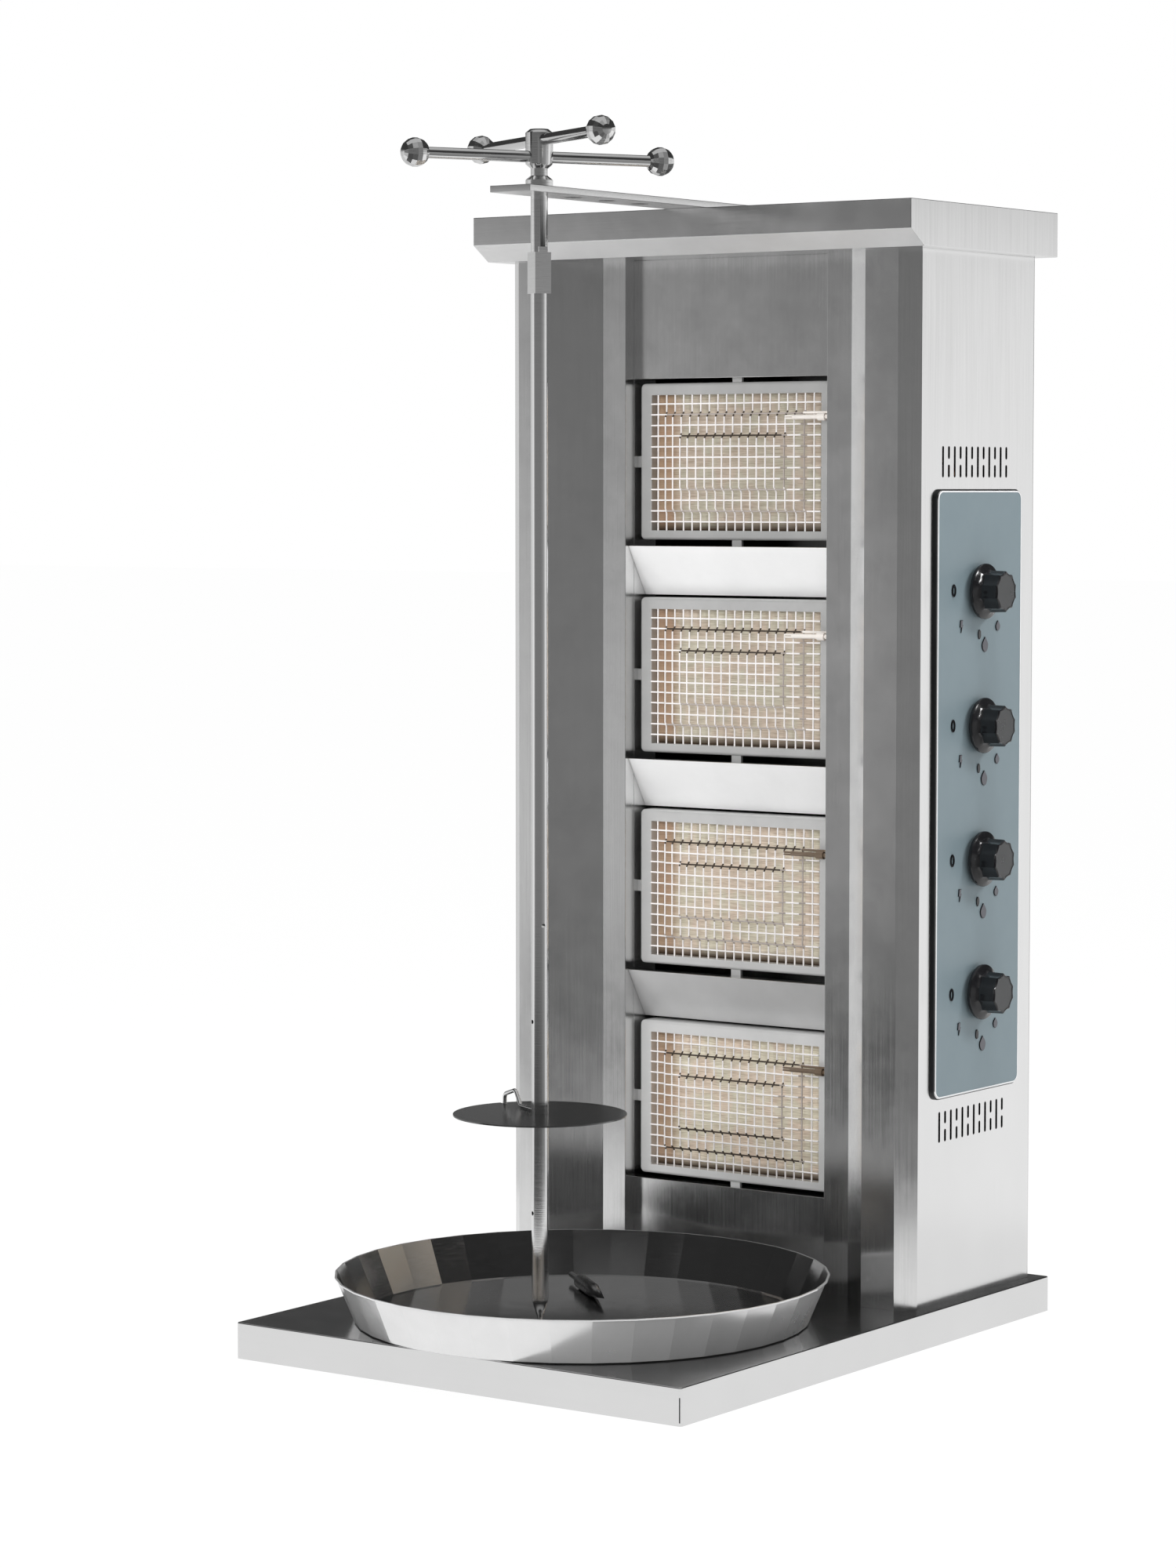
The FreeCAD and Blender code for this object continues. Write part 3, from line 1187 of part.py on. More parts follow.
def make_disc():
    """The round plate under the meat, with a notch in its edge for the pin."""
    top = "%s + disc_thick" % DISC_FOOT
    plate = rod("disc_plate", "disc_radius", "z", DISC_FOOT, top, ("0", "0"))
    hole = rod("disc_hole", "shaft_radius + 2 * arm_gap", "z", DISC_FOOT, top, ("0", "0"))
    slack = "pin_wire + loose_gap"
    across = ("-disc_radius - pin_wire", "-pin_foot + %s + pin_wire" % slack)
    notch = prism("disc_notch", "z", rectangle(across, both(slack)), DISC_FOOT, top)
    place(notch, turn=read("bar_angle"))
    node("meat_disc", place(cut("disc_cut", plate, [hole, notch]), y=SPIT_Y))


def bent_wire(points, radii, wire):
    """A round wire along straight runs in the XZ plane, with a tangent arc at each inner point."""
    edges, start = [], points[0]
    for before, corner, after, radius in zip(points, points[1:], points[2:], radii):
        arrive = (corner - before).normalize()
        leave = (after - corner).normalize()
        half = arrive.getAngle(leave) / 2
        first = corner - arrive * (radius * math.tan(half))
        last = corner + leave * (radius * math.tan(half))
        inward = (leave - arrive).normalize()
        middle = corner + inward * (radius / math.cos(half) - radius)
        edges += [Part.LineSegment(start, first).toShape(), Part.Arc(first, middle, last).toShape()]
        start = last
    edges.append(Part.LineSegment(start, points[-1]).toShape())
    section = Part.Wire([Part.Circle(points[0], points[1] - points[0], wire).toShape()])
    return Part.Wire(edges).makePipeShell([section], True, False)


def make_disc_pin():
    """The bent wire that holds the disc: one leg through the spit below it, the other lying on top."""
    wire, gap = read("pin_wire"), read("loose_gap")
    above = 2 * (wire + gap) + read("disc_thick")
    foot, crest, high = read("pin_foot"), read("pin_crest"), read("pin_crest_high")
    spots = [(read("pin_ahead"), 0), (-foot, 0), (-foot, read("pin_rise")), (-crest, high),
             (-read("pin_landing"), above), (-read("shaft_radius") - wire - gap, above)]
    points = [FreeCAD.Vector(x, 0, z) for x, z in spots]
    pin = doc.addObject("Part::Feature", "disc_pin_wire")
    pin.Shape = bent_wire(points, [read("pin_bend")] * (len(points) - 2), wire)
    node("disc_pin", place(pin, y=SPIT_Y, z=PIN_Z, turn=read("bar_angle")))


def make_pan():
    """The round drip pan that stands loose on the deck, and the loose spike that lies in it."""
    rim = DECK + " + pan_tall"
    profile = [(DECK, "0"), (DECK, "pan_floor"), (rim, "pan_rim"), (rim, "pan_rim - pan_sheet"),
               (PAN_FLOOR, "pan_floor - pan_sheet"), (PAN_FLOOR, "0")]
    node("drip_pan", place(turned("pan_turned", "z", profile), y=PAN_Y))
    stem, body = "spike_stem_long", "spike_stem_long + spike_body_long"
    spike = turned("spike_turned", "x", [
        ("0", "0"), ("0", "spike_stem"), (stem, "spike_stem"), (stem, "spike_radius"),
        (body, "spike_radius"), (body + " + spike_cone_long", "0")])
    node("loose_spike", place(spike, "-spike_left", PAN_Y + " + spike_back",
                              PAN_FLOOR + " + spike_radius + running_gap", read("spike_angle")))


make_base()
make_side_panel(-1, "side_panel_left")
make_side_panel(1, "side_panel_right")
make_back_panel()
make_front_panels()
make_cap()
make_screws(make_arm())
make_rails()
for burner in BURNERS:
    make_frame(burner)
    make_tile(burner)
    make_plenum(burner)
    make_probe(burner)
    make_knob(burner)
    make_valve(burner)
make_deflectors()
make_screens()
make_control_panel()
make_manifold()
make_feed_pipes()
make_spit()
make_handles()
make_disc()
make_disc_pin()
make_pan()
doc.recompute()

failed = [made.Name for made in doc.Objects if "Invalid" in made.State or "Error" in made.State]
if failed:
    raise RuntimeError("not built: %s" % ", ".join(failed))
unsound = [label for label, made in NODES.items() if made.Shape.isNull() or not made.Shape.isValid()]
if unsound:
    raise RuntimeError("bad shapes: %s" % ", ".join(unsound))
os.makedirs("parts", exist_ok=True)
for label, made in NODES.items():
    made.Shape.exportStep("parts/%s.step" % label)
    print(label, len(made.Shape.Solids), round(made.Shape.Volume, 1))
print(len(NODES), "sub-parts")
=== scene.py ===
"""The looks of an upright grill with four burners and a turning spit, laid over its CAD model, in metres."""
import json
import math
import bmesh
import bpy
from mathutils import Matrix, Vector

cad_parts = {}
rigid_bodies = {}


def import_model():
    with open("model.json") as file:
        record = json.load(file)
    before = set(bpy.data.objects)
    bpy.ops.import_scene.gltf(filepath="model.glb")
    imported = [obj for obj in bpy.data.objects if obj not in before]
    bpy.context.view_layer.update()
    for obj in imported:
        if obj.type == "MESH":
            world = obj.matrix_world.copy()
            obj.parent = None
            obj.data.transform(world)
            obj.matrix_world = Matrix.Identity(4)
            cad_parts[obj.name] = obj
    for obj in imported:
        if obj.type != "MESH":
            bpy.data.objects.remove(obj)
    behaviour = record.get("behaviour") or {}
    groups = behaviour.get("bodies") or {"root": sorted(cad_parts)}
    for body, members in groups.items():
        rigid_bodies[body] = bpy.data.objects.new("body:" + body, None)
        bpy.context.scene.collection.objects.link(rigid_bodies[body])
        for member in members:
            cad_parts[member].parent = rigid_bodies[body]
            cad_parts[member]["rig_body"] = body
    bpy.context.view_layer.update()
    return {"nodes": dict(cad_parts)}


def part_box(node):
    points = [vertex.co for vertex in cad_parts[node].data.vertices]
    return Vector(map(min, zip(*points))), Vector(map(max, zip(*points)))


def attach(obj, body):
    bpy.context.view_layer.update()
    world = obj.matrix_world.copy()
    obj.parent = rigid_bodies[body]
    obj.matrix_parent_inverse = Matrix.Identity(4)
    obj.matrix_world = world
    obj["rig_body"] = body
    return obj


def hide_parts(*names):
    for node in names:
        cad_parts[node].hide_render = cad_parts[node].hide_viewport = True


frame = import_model()
nodes = frame["nodes"]
MM = 0.001

# Places and sizes that the CAD model shares with the pieces made here; burners and knobs are counted from the
# top down
BURNERS = 4
LOWEST_BURNER = 204.2
BURNER_PITCH = 209.6
BURNER_Z = [(LOWEST_BURNER + BURNER_PITCH * (BURNERS - 1 - i)) * MM for i in range(BURNERS)]
BURNER_Y = 136.7 * MM
OPENING_WIDTH = 197 * MM
OPENING_HEIGHT = 132.5 * MM
OPENING_DROP = 1.2 * MM
OPENING_Z = [z - OPENING_DROP for z in BURNER_Z]
MIDDLE_OF_KNOBS = 518
KNOB_PITCH = 127.5
KNOB_Z = [(MIDDLE_OF_KNOBS + KNOB_PITCH * ((BURNERS - 1) / 2 - i)) * MM for i in range(BURNERS)]
KNOB_Y = 197 * MM
PLATE_X = 239.5 * MM
SPIT_Y = -184.7 * MM
BAR_ANGLE = math.radians(-27.8)
BAR_LEVELS = (1105.5 * MM, 1120.5 * MM)


def node_body(name):
    """The body that a CAD node rides on."""
    return nodes[name]["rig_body"]


def link(name, mesh):
    """A new object for a mesh or a curve."""
    piece = bpy.data.objects.new(name, mesh)
    bpy.context.scene.collection.objects.link(piece)
    return piece


def settle(piece, materials, stands_for, angle=30):
    """Give a piece its materials and shading, and tie it to the CAD node it stands for."""
    for material in materials:
        piece.data.materials.append(material)
    if piece.type == "MESH":
        piece.data.shade_smooth()
        piece.data.set_sharp_from_angle(angle=math.radians(angle))
        weighted = piece.modifiers.new("flat_faces", "WEIGHTED_NORMAL")
        weighted.keep_sharp = True
    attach(piece, node_body(stands_for))
    return piece


def mesh_from(name, build):
    """A mesh object filled by a function that takes an empty bmesh."""
    shape = bmesh.new()
    build(shape)
    bmesh.ops.recalc_face_normals(shape, faces=shape.faces)
    mesh = bpy.data.meshes.new(name)
    shape.to_mesh(mesh)
    shape.free()
    return link(name, mesh)


def loop_faces(shape, first, second, material=0):
    """Faces between two rings of vertices."""
    count = len(first)
    for k in range(count):
        after = (k + 1) % count
        face = shape.faces.new((first[k], first[after], second[after], second[k]))
        face.material_index = material


def turns(count, start=0.0):
    """The angles of points spaced evenly round a circle."""
    return [2 * math.pi * (k + start) / count for k in range(count)]


def spaced(count, pitch):
    """Places about zero, a pitch in millimetres apart."""
    return [(k - (count - 1) / 2) * pitch * MM for k in range(count)]


def new_material(name):
    """A material, its node tree and its shader."""
    material = bpy.data.materials.new(name)
    material.use_nodes = True
    return material, material.node_tree, material.node_tree.nodes["Principled BSDF"]


def feed(tree, socket, value):
    """Link a socket to another node's output, or give it a number or a colour."""
    if isinstance(value, bpy.types.NodeSocket):
        tree.links.new(value, socket)
    elif socket.type == "RGBA":
        socket.default_value = (*value, 1)
    else:
        socket.default_value = value


def place_of(tree, kind="Object"):
    """A texture coordinate, and its x, y and z."""
    coordinates = tree.nodes.new("ShaderNodeTexCoord")
    split = tree.nodes.new("ShaderNodeSeparateXYZ")
    tree.links.new(coordinates.outputs[kind], split.inputs["Vector"])
    return coordinates.outputs[kind], split.outputs["X"], split.outputs["Y"], split.outputs["Z"]


def noise(tree, scale, detail=3.0, rough=0.55):
    """A noise on object coordinates, stretched by a scale along each axis."""
    coordinates = tree.nodes.new("ShaderNodeTexCoord")
    mapping = tree.nodes.new("ShaderNodeMapping")
    mapping.inputs["Scale"].default_value = scale
    texture = tree.nodes.new("ShaderNodeTexNoise")
    texture.inputs["Scale"].default_value = 1.0
    texture.inputs["Detail"].default_value = detail
    texture.inputs["Roughness"].default_value = rough
    tree.links.new(coordinates.outputs["Object"], mapping.inputs["Vector"])
    tree.links.new(mapping.outputs["Vector"], texture.inputs["Vector"])
    return texture.outputs["Fac"]


def ranged(tree, value, low, high, start=0.3, end=0.7):
    """A number that goes from low to high while a value goes from start to end."""
    spread = tree.nodes.new("ShaderNodeMapRange")
    for name, number in (("From Min", start), ("From Max", end), ("To Min", low), ("To Max", high)):
        spread.inputs[name].default_value = number
    tree.links.new(value, spread.inputs["Value"])
    return spread.outputs["Result"]


def worked_out(tree, operation, first, second):
    """A number worked out from two others."""
    step = tree.nodes.new("ShaderNodeMath")
    step.operation = operation
    tree.links.new(first, step.inputs[0])
    tree.links.new(second, step.inputs[1])
    return step.outputs["Value"]


def blended(tree, weight, first, second, how="MIX"):
    """One colour blended with another, by a weight."""
    mix = tree.nodes.new("ShaderNodeMix")
    mix.data_type = "RGBA"
    mix.blend_type = how
    for name, value in (("Factor", weight), ("A", first), ("B", second)):
        feed(tree, mix.inputs[name], value)
    return mix.outputs["Result"]


def bumped(tree, shader, height, distance):
    """A bump from a height, as high as a distance in metres."""
    bump = tree.nodes.new("ShaderNodeBump")
    bump.inputs["Distance"].default_value = distance
    bump.inputs["Strength"].default_value = 1.0
    tree.links.new(height, bump.inputs["Height"])
    tree.links.new(bump.outputs["Normal"], shader.inputs["Normal"])


def steel(name, grain, colour=0.8, spread=0.02, rough=0.2, uneven=0.03, scratch=0.000012, smudge=9):
    """Brushed steel: fine scratches along the axis where the grain's scale is small, over soft clouds."""
    material, tree, shader = new_material(name)
    shader.inputs["Metallic"].default_value = 1.0
    clouds = noise(tree, (smudge, smudge, smudge), detail=6.0, rough=0.62)
    lines = noise(tree, grain, detail=2.0)
    dull = colour - spread
    bright = colour + spread
    less_blue = colour + spread * 0.98
    tone = blended(tree, ranged(tree, clouds, 0, 1), (dull, dull, dull), (bright, bright, less_blue))
    tree.links.new(tone, shader.inputs["Base Color"])
    roughness = worked_out(tree, "ADD", ranged(tree, clouds, rough - uneven, rough + uneven),
                           ranged(tree, lines, -uneven, uneven))
    tree.links.new(roughness, shader.inputs["Roughness"])
    bumped(tree, shader, lines, scratch)
    return material


def plain(name, colour, rough, grain=900, bump=0.00002, coat=0.0, metallic=0.0, spread=0.03, uneven=0.15):
    """A moulded, painted or satin surface with a fine texture and a slight change of tone and gloss."""
    material, tree, shader = new_material(name)
    shader.inputs["Metallic"].default_value = metallic
    shader.inputs["Coat Weight"].default_value = coat
    fine = noise(tree, (grain, grain, grain))
    broad = noise(tree, (30, 30, 30), detail=4.0)
    dark = [max(c - spread, 0) for c in colour]
    light = [c + spread for c in colour]
    tree.links.new(blended(tree, ranged(tree, broad, 0, 1), dark, light), shader.inputs["Base Color"])
    roughness = ranged(tree, broad, rough * (1 - uneven), rough * (1 + uneven))
    tree.links.new(roughness, shader.inputs["Roughness"])
    bumped(tree, shader, fine, bump)
    return material


# The ceramic tiles: how pale each one is, which is painted light that makes the lower tiles paler, and the
# colours of their clay, their patches, a browner strip at their left and the painted shade at their foot
TILE_PAINTED_LIGHT = (0.86, 0.98, 1.14, 1.3)
CLAY = ((0.5, 0.435, 0.36), (0.72, 0.665, 0.59))
PATCHES = ((0.97, 1.0, 0.93), (1.0, 0.93, 0.88))
LEFT_BROWN = (0.36, 0.21, 0.12)
LEFT_BROWN_SHARE = 0.75
LEFT_BROWN_X = (-83 * MM, -68 * MM)
PAINTED_SHADE_AT_FOOT = (0.05, 0.032, 0.02)
PAINTED_SHADE_HEIGHTS = (1 * MM, 11 * MM)


def ceramic(i):
    """Fired clay: fine stripes across, warm patches, a browner strip at the left, a painted shade below, and
    painted light per tile.
    """
    material, tree, shader = new_material("fired_ceramic_%d" % (i + 1))
    shader.inputs["Roughness"].default_value = 0.85
    stripes = noise(tree, (60, 60, 1400), detail=2.0)
    patches = noise(tree, (45, 45, 45), detail=1.0)
    _, x, _, z = place_of(tree)
    # Each tile's clay is scaled paler or darker as painted light, paler on the lower tiles.
    dark, pale = [[c * TILE_PAINTED_LIGHT[i] for c in colour] for colour in CLAY]
    clay = blended(tree, ranged(tree, stripes, 0, 1, 0.35, 0.65), dark, pale)
    warmth = blended(tree, ranged(tree, patches, 0, 1, 0.4, 0.6), *PATCHES)
    clay = blended(tree, 1.0, clay, warmth, "MULTIPLY")
    # The clay turns browner towards the tile's left edge.
    clay = blended(tree, ranged(tree, x, LEFT_BROWN_SHARE, 0, *LEFT_BROWN_X), clay, LEFT_BROWN)
    # Painted shade: the clay darkens to near black towards the tile's foot.
    foot = OPENING_Z[i] - OPENING_HEIGHT / 2
    clay = blended(tree, ranged(tree, z, 1, 0, *[foot + height for height in PAINTED_SHADE_HEIGHTS]), clay, PAINTED_SHADE_AT_FOOT)
    tree.links.new(clay, shader.inputs["Base Color"])
    bumped(tree, shader, stripes, 0.0004)
    return material


# The scale of a brushed grain along x, y and z: its scratches run along the axis where the scale is small
UPRIGHT = (700, 700, 9)
ACROSS = (9, 700, 700)
ACROSS_DECK = (9, 500, 500)
EVEN = (300, 300, 300)

clean_steel = steel("clean_brushed_steel", UPRIGHT)
wall_steel = steel("brushed_steel_wall", UPRIGHT, spread=0.06, smudge=22)
cap_steel = steel("brushed_steel_cap", ACROSS, spread=0.06, smudge=22)
# The deck's upward faces get a darker tone than its sides: painted shade.
deck_top_painted_shade = steel("deck_top_steel_with_painted_shade", ACROSS_DECK, colour=0.5, rough=0.18)
deck_steel = steel("brushed_steel_deck", ACROSS_DECK, rough=0.16)
pan_steel = plain("spun_steel_pan", (0.82, 0.82, 0.82), 0.24, bump=0.0, metallic=0.7)
# The pan's inside faces are given a darker steel as painted shade.
pan_inside_painted_shade = steel("steel_inside_pan_painted_shade", (60, 60, 900), colour=0.42, rough=0.17, scratch=0.00003)
disc_steel = steel("dull_disc_steel", (60, 900, 60), colour=0.2, rough=0.22, scratch=0.00002)
satin_steel = plain("satin_steel", (0.74, 0.74, 0.74), 0.45, grain=700, metallic=0.45)
# A paler copy of the satin steel for the two upper deflectors: painted light.
satin_steel_painted_light = plain("satin_steel_painted_light", (0.96, 0.96, 0.96), 0.4, grain=700, metallic=0.2)
shade_steel = steel("shaded_steel", UPRIGHT, colour=0.05, rough=0.5)
pale_sheath = plain("pale_probe_sheath", (0.85, 0.8, 0.75), 0.4)
brown_sheath = plain("brown_probe_sheath", (0.24, 0.18, 0.13), 0.35, metallic=0.4)
spit_steel = steel("turned_steel", (60, 60, 1200), colour=0.82, rough=0.12, scratch=0.00002)
bright_wire = steel("bright_wire", EVEN, colour=0.85, rough=0.25)
# Dark steel: the loose spike's own dark metal, and painted shade on the burner plenums.
dark_steel = steel("dark_steel", EVEN, colour=0.22, rough=0.3)
# One copy of the frame steel per burner, paler for the lower burners: painted light.
frame_steels_painted_light = [plain("satin_frame_steel_painted_light_%d" % (i + 1), (tone, tone, tone * 0.99), 0.4, grain=700,
                      bump=0.00003, metallic=0.35) for i, tone in enumerate((0.5, 0.56, 0.66, 0.78))]
net_wire = plain("pale_net_wire", (0.93, 0.9, 0.89), 0.5)
# Two copies of the net wire darkened as painted shade: a deep one and a lighter one.
deep_painted_shade_wire = plain("net_wire_deep_painted_shade", (0.06, 0.046, 0.034), 0.5, spread=0.01)
half_painted_shade_wire = plain("net_wire_half_painted_shade", (0.46, 0.41, 0.38), 0.5)
brass = plain("machined_brass", (0.75, 0.58, 0.3), 0.3, metallic=1.0)
copper = plain("drawn_copper", (0.72, 0.42, 0.29), 0.3, metallic=1.0)
black_gloss = plain("gloss_black_plastic", (0.007, 0.007, 0.008), 0.14, grain=2500, bump=0.000005, coat=0.1,
                    spread=0.003)
knob_face = plain("knob_face_grey", (0.02, 0.021, 0.022), 0.3, spread=0.006)
plate_paint = plain("blue_grey_plate", (0.2, 0.258, 0.285), 0.42, grain=1500, spread=0.012)
plate_painted_highlight = plain("pale_line_painted_highlight", (0.85, 0.86, 0.87), 0.35)
plate_edge = plain("dark_edge", (0.012, 0.013, 0.014), 0.35, spread=0.004)
sign_face = plain("sign_face", (0.1, 0.1, 0.115), 0.35, spread=0.01)

# The finish of each CAD node that keeps its own shape
NODE_MATERIALS = {
    "base_deck": deck_steel, "base_channels": deck_steel, "cap_shell": cap_steel, "cap_channel": cap_steel,
    "burner_rails": wall_steel, "deflectors": cap_steel, "upper_front_panel": wall_steel,
    "lower_front_panel": wall_steel, "back_panel": wall_steel, "side_panel_left": wall_steel,
    "side_panel_right": wall_steel, "screws": bright_wire, "spit_arm": cap_steel, "spit_shaft": spit_steel,
    "handle_bars": spit_steel, "meat_disc": disc_steel, "disc_pin": bright_wire, "thrust_washer": spit_steel,
    "gas_manifold": wall_steel, "feed_pipes": copper, "loose_spike": dark_steel,
}

# Sheet and bar pieces whose sharp edges are eased, with the width and the shortest edge that is eased
EASED = {
    "base_deck": (0.0012, 0.02), "cap_shell": (0.0009, 0.02), "side_panel_left": (0.0011, 0.03),
    "side_panel_right": (0.0011, 0.03), "upper_front_panel": (0.0004, 0.02),
    "lower_front_panel": (0.0004, 0.02), "back_panel": (0.0003, 0.06), "deflectors": (0.0004, 0.02),
    "spit_arm": (0.0005, 0.005), "burner_rails": (0.0004, 0.03), "cap_channel": (0.0005, 0.03),
    "base_channels": (0.0005, 0.03), "gas_manifold": (0.001, 0.015),
}

PROBE_SHEATHS = (pale_sheath, pale_sheath, brown_sheath, brown_sheath)
for i in range(BURNERS):
    NODE_MATERIALS["burner_frame_%d" % (i + 1)] = frame_steels_painted_light[i]
    # The plenums inside, behind the burners, get the dark steel as painted shade.
    NODE_MATERIALS["burner_plenum_%d" % (i + 1)] = dark_steel
    NODE_MATERIALS["flame_probe_%d" % (i + 1)] = PROBE_SHEATHS[i]
    NODE_MATERIALS["gas_valve_%d" % (i + 1)] = brass
    NODE_MATERIALS["valve_plug_%d" % (i + 1)] = brass
    NODE_MATERIALS["valve_spindle_%d" % (i + 1)] = bright_wire
    EASED["burner_frame_%d" % (i + 1)] = (0.0006, 0.01)

# How far a face's normal leans along an axis where the face slopes that way, and where it looks that way
SLOPING = 0.3
STRAIGHT = 0.9
BEHIND_BURNERS = 0.14
INSIDE_WALLS = 0.2345
TOP_OF_LOWEST_DEFLECTOR = 0.4


def slopes_under(face):
    """Whether a face looks forward and down."""
    return face.normal.y < -SLOPING and face.normal.z < -SLOPING


def upper_slope(face):
    """Whether a face belongs to the two upper deflectors."""
    return slopes_under(face) and face.calc_center_median().z > TOP_OF_LOWEST_DEFLECTOR


def lower_slope(face):
    """Whether a face belongs to the lowest deflector."""
    return slopes_under(face) and face.calc_center_median().z < TOP_OF_LOWEST_DEFLECTOR


def inside_cabinet(face):
    """Whether a face lies inside the cabinet, behind the burners."""
    middle = face.calc_center_median()
    return middle.y > BEHIND_BURNERS and abs(middle.x) < INSIDE_WALLS


def faces_sideways(face):
    """Whether a face looks to the left or the right."""
    return abs(face.normal.x) > STRAIGHT


def faces_upwards(face):
    """Whether a face looks up."""
    return face.normal.z > STRAIGHT


# Faces of a node that have a finish of their own, some of it painted light or shade: a darker deck top and
# dark inside walls as painted shade, paler upper deflectors as painted light; where two tests hold, the later
# one counts
SPECIAL = {"base_deck": ((faces_upwards, deck_top_painted_shade),),
           "cap_shell": ((faces_sideways, clean_steel), (slopes_under, satin_steel)),
           # The upper deflectors' slopes are made paler than the lowest one's as painted light.
           "deflectors": ((upper_slope, satin_steel_painted_light), (lower_slope, satin_steel)),
           "side_panel_right": ((faces_sideways, clean_steel), (inside_cabinet, shade_steel)),
           "side_panel_left": ((faces_sideways, clean_steel), (inside_cabinet, shade_steel))}

SAME_POINT = 2e-6
FLAT = math.radians(1.0)
SHARP = math.radians(35)


def dress(name, material):
    """A CAD node's own shape with joined faces, eased edges, smooth curves and a finish, which on some faces
    is painted shade or light.
    """
    shape = bmesh.new()
    shape.from_mesh(nodes[name].data)
    bmesh.ops.remove_doubles(shape, verts=shape.verts, dist=SAME_POINT)
    bmesh.ops.dissolve_limit(shape, angle_limit=FLAT, verts=shape.verts, edges=shape.edges)
    if name in EASED:
        width, shortest = EASED[name]
        sharp = [edge for edge in shape.edges if len(edge.link_faces) == 2
                 and edge.calc_face_angle(0) > SHARP and edge.calc_length() > shortest]
        bmesh.ops.bevel(shape, geom=sharp, offset=width, segments=2, profile=0.6, affect="EDGES",
                        clamp_overlap=True)
    bmesh.ops.recalc_face_normals(shape, faces=shape.faces)
    materials = [material]
    for chosen, finish in SPECIAL.get(name, ()):
        materials.append(finish)
        for face in shape.faces:
            if chosen(face):
                face.material_index = len(materials) - 1
    mesh = bpy.data.meshes.new(name + "_dressed")
    shape.to_mesh(mesh)
    shape.free()
    piece = link(name + "_dressed", mesh)
    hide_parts(name)
    return settle(piece, materials, name)


# Burner nets: round wires, flat at the rim and pressed forward in two steps with sloping sides; a step's
# outline follows the wire that has its number, counted from each edge
WIRE_RADIUS = 0.8 * MM
ROW_LIFT = WIRE_RADIUS * 0.6
STEPS = (1, 3)
STEP_HEIGHT = 4.4 * MM
HALF_SLOPE = 2.4 * MM
COLUMNS = spaced(19, 10.07)
ROWS = spaced(12, 10.45)
# The darkened and dull wires are the pale wire with painted shade.
WIRES = {"pale": net_wire, "darkened": deep_painted_shade_wire, "dull": half_painted_shade_wire}

# The finish of a net's rows along the outer and the inner outline at the top, the same at the bottom, and of
# the low slopes of its columns, for each burner; the darkened and dull finishes are painted shade
NET_FINISH = (("dull", "darkened", "dull", "dull", "pale"), ("darkened", "darkened", "dull", "dull", "pale"),
              ("darkened", "darkened", "dull", "dull", "dull"),
              ("darkened", "darkened", "darkened", "darkened", "darkened"))


def wire_runs(places, half, rank, ranks):
    """A wire's straight runs, as (start, depth, end, depth, kind): the level ones, then the slopes between.

    A wire whose rank lies inside a step's outline climbs that step where it crosses it, and a wire that lies
    on the outline itself is half way up.
    """
    climbs = [step for step in STEPS if step <= rank < ranks - step]
    stops = [places[step] for step in climbs] + [places[-1 - step] for step in reversed(climbs)]
    depths = [0]
    for step in climbs:
        depths.append(depths[-1] + (STEP_HEIGHT if step < rank < ranks - 1 - step else STEP_HEIGHT / 2))
    depths += depths[-2::-1]
    starts = [-half] + [stop + HALF_SLOPE for stop in stops]
    ends = [stop - HALF_SLOPE for stop in stops] + [half]
    levels = [(a, depth, b, depth, "front" if depth == max(depths) else "rim")
              for a, b, depth in zip(starts, ends, depths)]
    slopes = [(stop - HALF_SLOPE, depths[k], stop + HALF_SLOPE, depths[k + 1], "slope")
              for k, stop in enumerate(stops)]
    return levels + slopes


def net_lines(i):
    """The straight wires of one burner's net, by finish, the darkened and dull finishes being painted shade.
    """
    lines = {finish: [] for finish in WIRES}
    middle = OPENING_Z[i]
    top_outer, top_inner, low_outer, low_inner, low_slopes = NET_FINISH[i]
    row_finish = {len(ROWS) - 1 - STEPS[0]: top_outer, len(ROWS) - 1 - STEPS[1]: top_inner,
                  STEPS[0]: low_outer, STEPS[1]: low_inner}
    right_outlines = [len(COLUMNS) - 1 - step for step in STEPS]
    for rank, x in enumerate(COLUMNS):
        for a, deep, b, deeper, kind in wire_runs(ROWS, OPENING_HEIGHT / 2, rank, len(COLUMNS)):
            finish = "dull" if rank in right_outlines and kind == "front" else "pale"
            if kind == "slope":
                finish = "darkened" if a > 0 else low_slopes
            lines[finish].append([(x, BURNER_Y - deep, middle + a), (x, BURNER_Y - deeper, middle + b)])
    for rank, z in enumerate(ROWS):
        for a, deep, b, deeper, kind in wire_runs(COLUMNS, OPENING_WIDTH / 2, rank, len(ROWS)):
            finish = row_finish.get(rank, "pale") if kind == "front" else "pale"
            if kind == "slope" and a > 0:
                finish = "dull"
            lines[finish].append([(a, BURNER_Y - deep - ROW_LIFT, middle + z),
                                  (b, BURNER_Y - deeper - ROW_LIFT, middle + z)])
    return lines


def make_net(i):
    """One burner's net, in three pieces: pale wires, ones darkened as painted shade along the step outlines,
    and dull ones as a lighter painted shade.
    """
    pieces = []
    for finish, lines in net_lines(i).items():
        name = "burner_net_%d_%s" % (i + 1, finish)
        curve = bpy.data.curves.new(name, "CURVE")
        curve.dimensions = "3D"
        curve.bevel_depth = WIRE_RADIUS
        curve.bevel_resolution = 2
        curve.use_fill_caps = True
        for points in lines:
            spline = curve.splines.new("POLY")
            spline.points.add(len(points) - 1)
            for point, spot in zip(spline.points, points):
                point.co = (*spot, 1)
        pieces.append(settle(link(name, curve), [WIRES[finish]], "burner_screen_%d" % (i + 1)))
    return pieces


RIDGE_DEPTH = 0.35 * MM
RIDGE_PITCH = 2.1 * MM


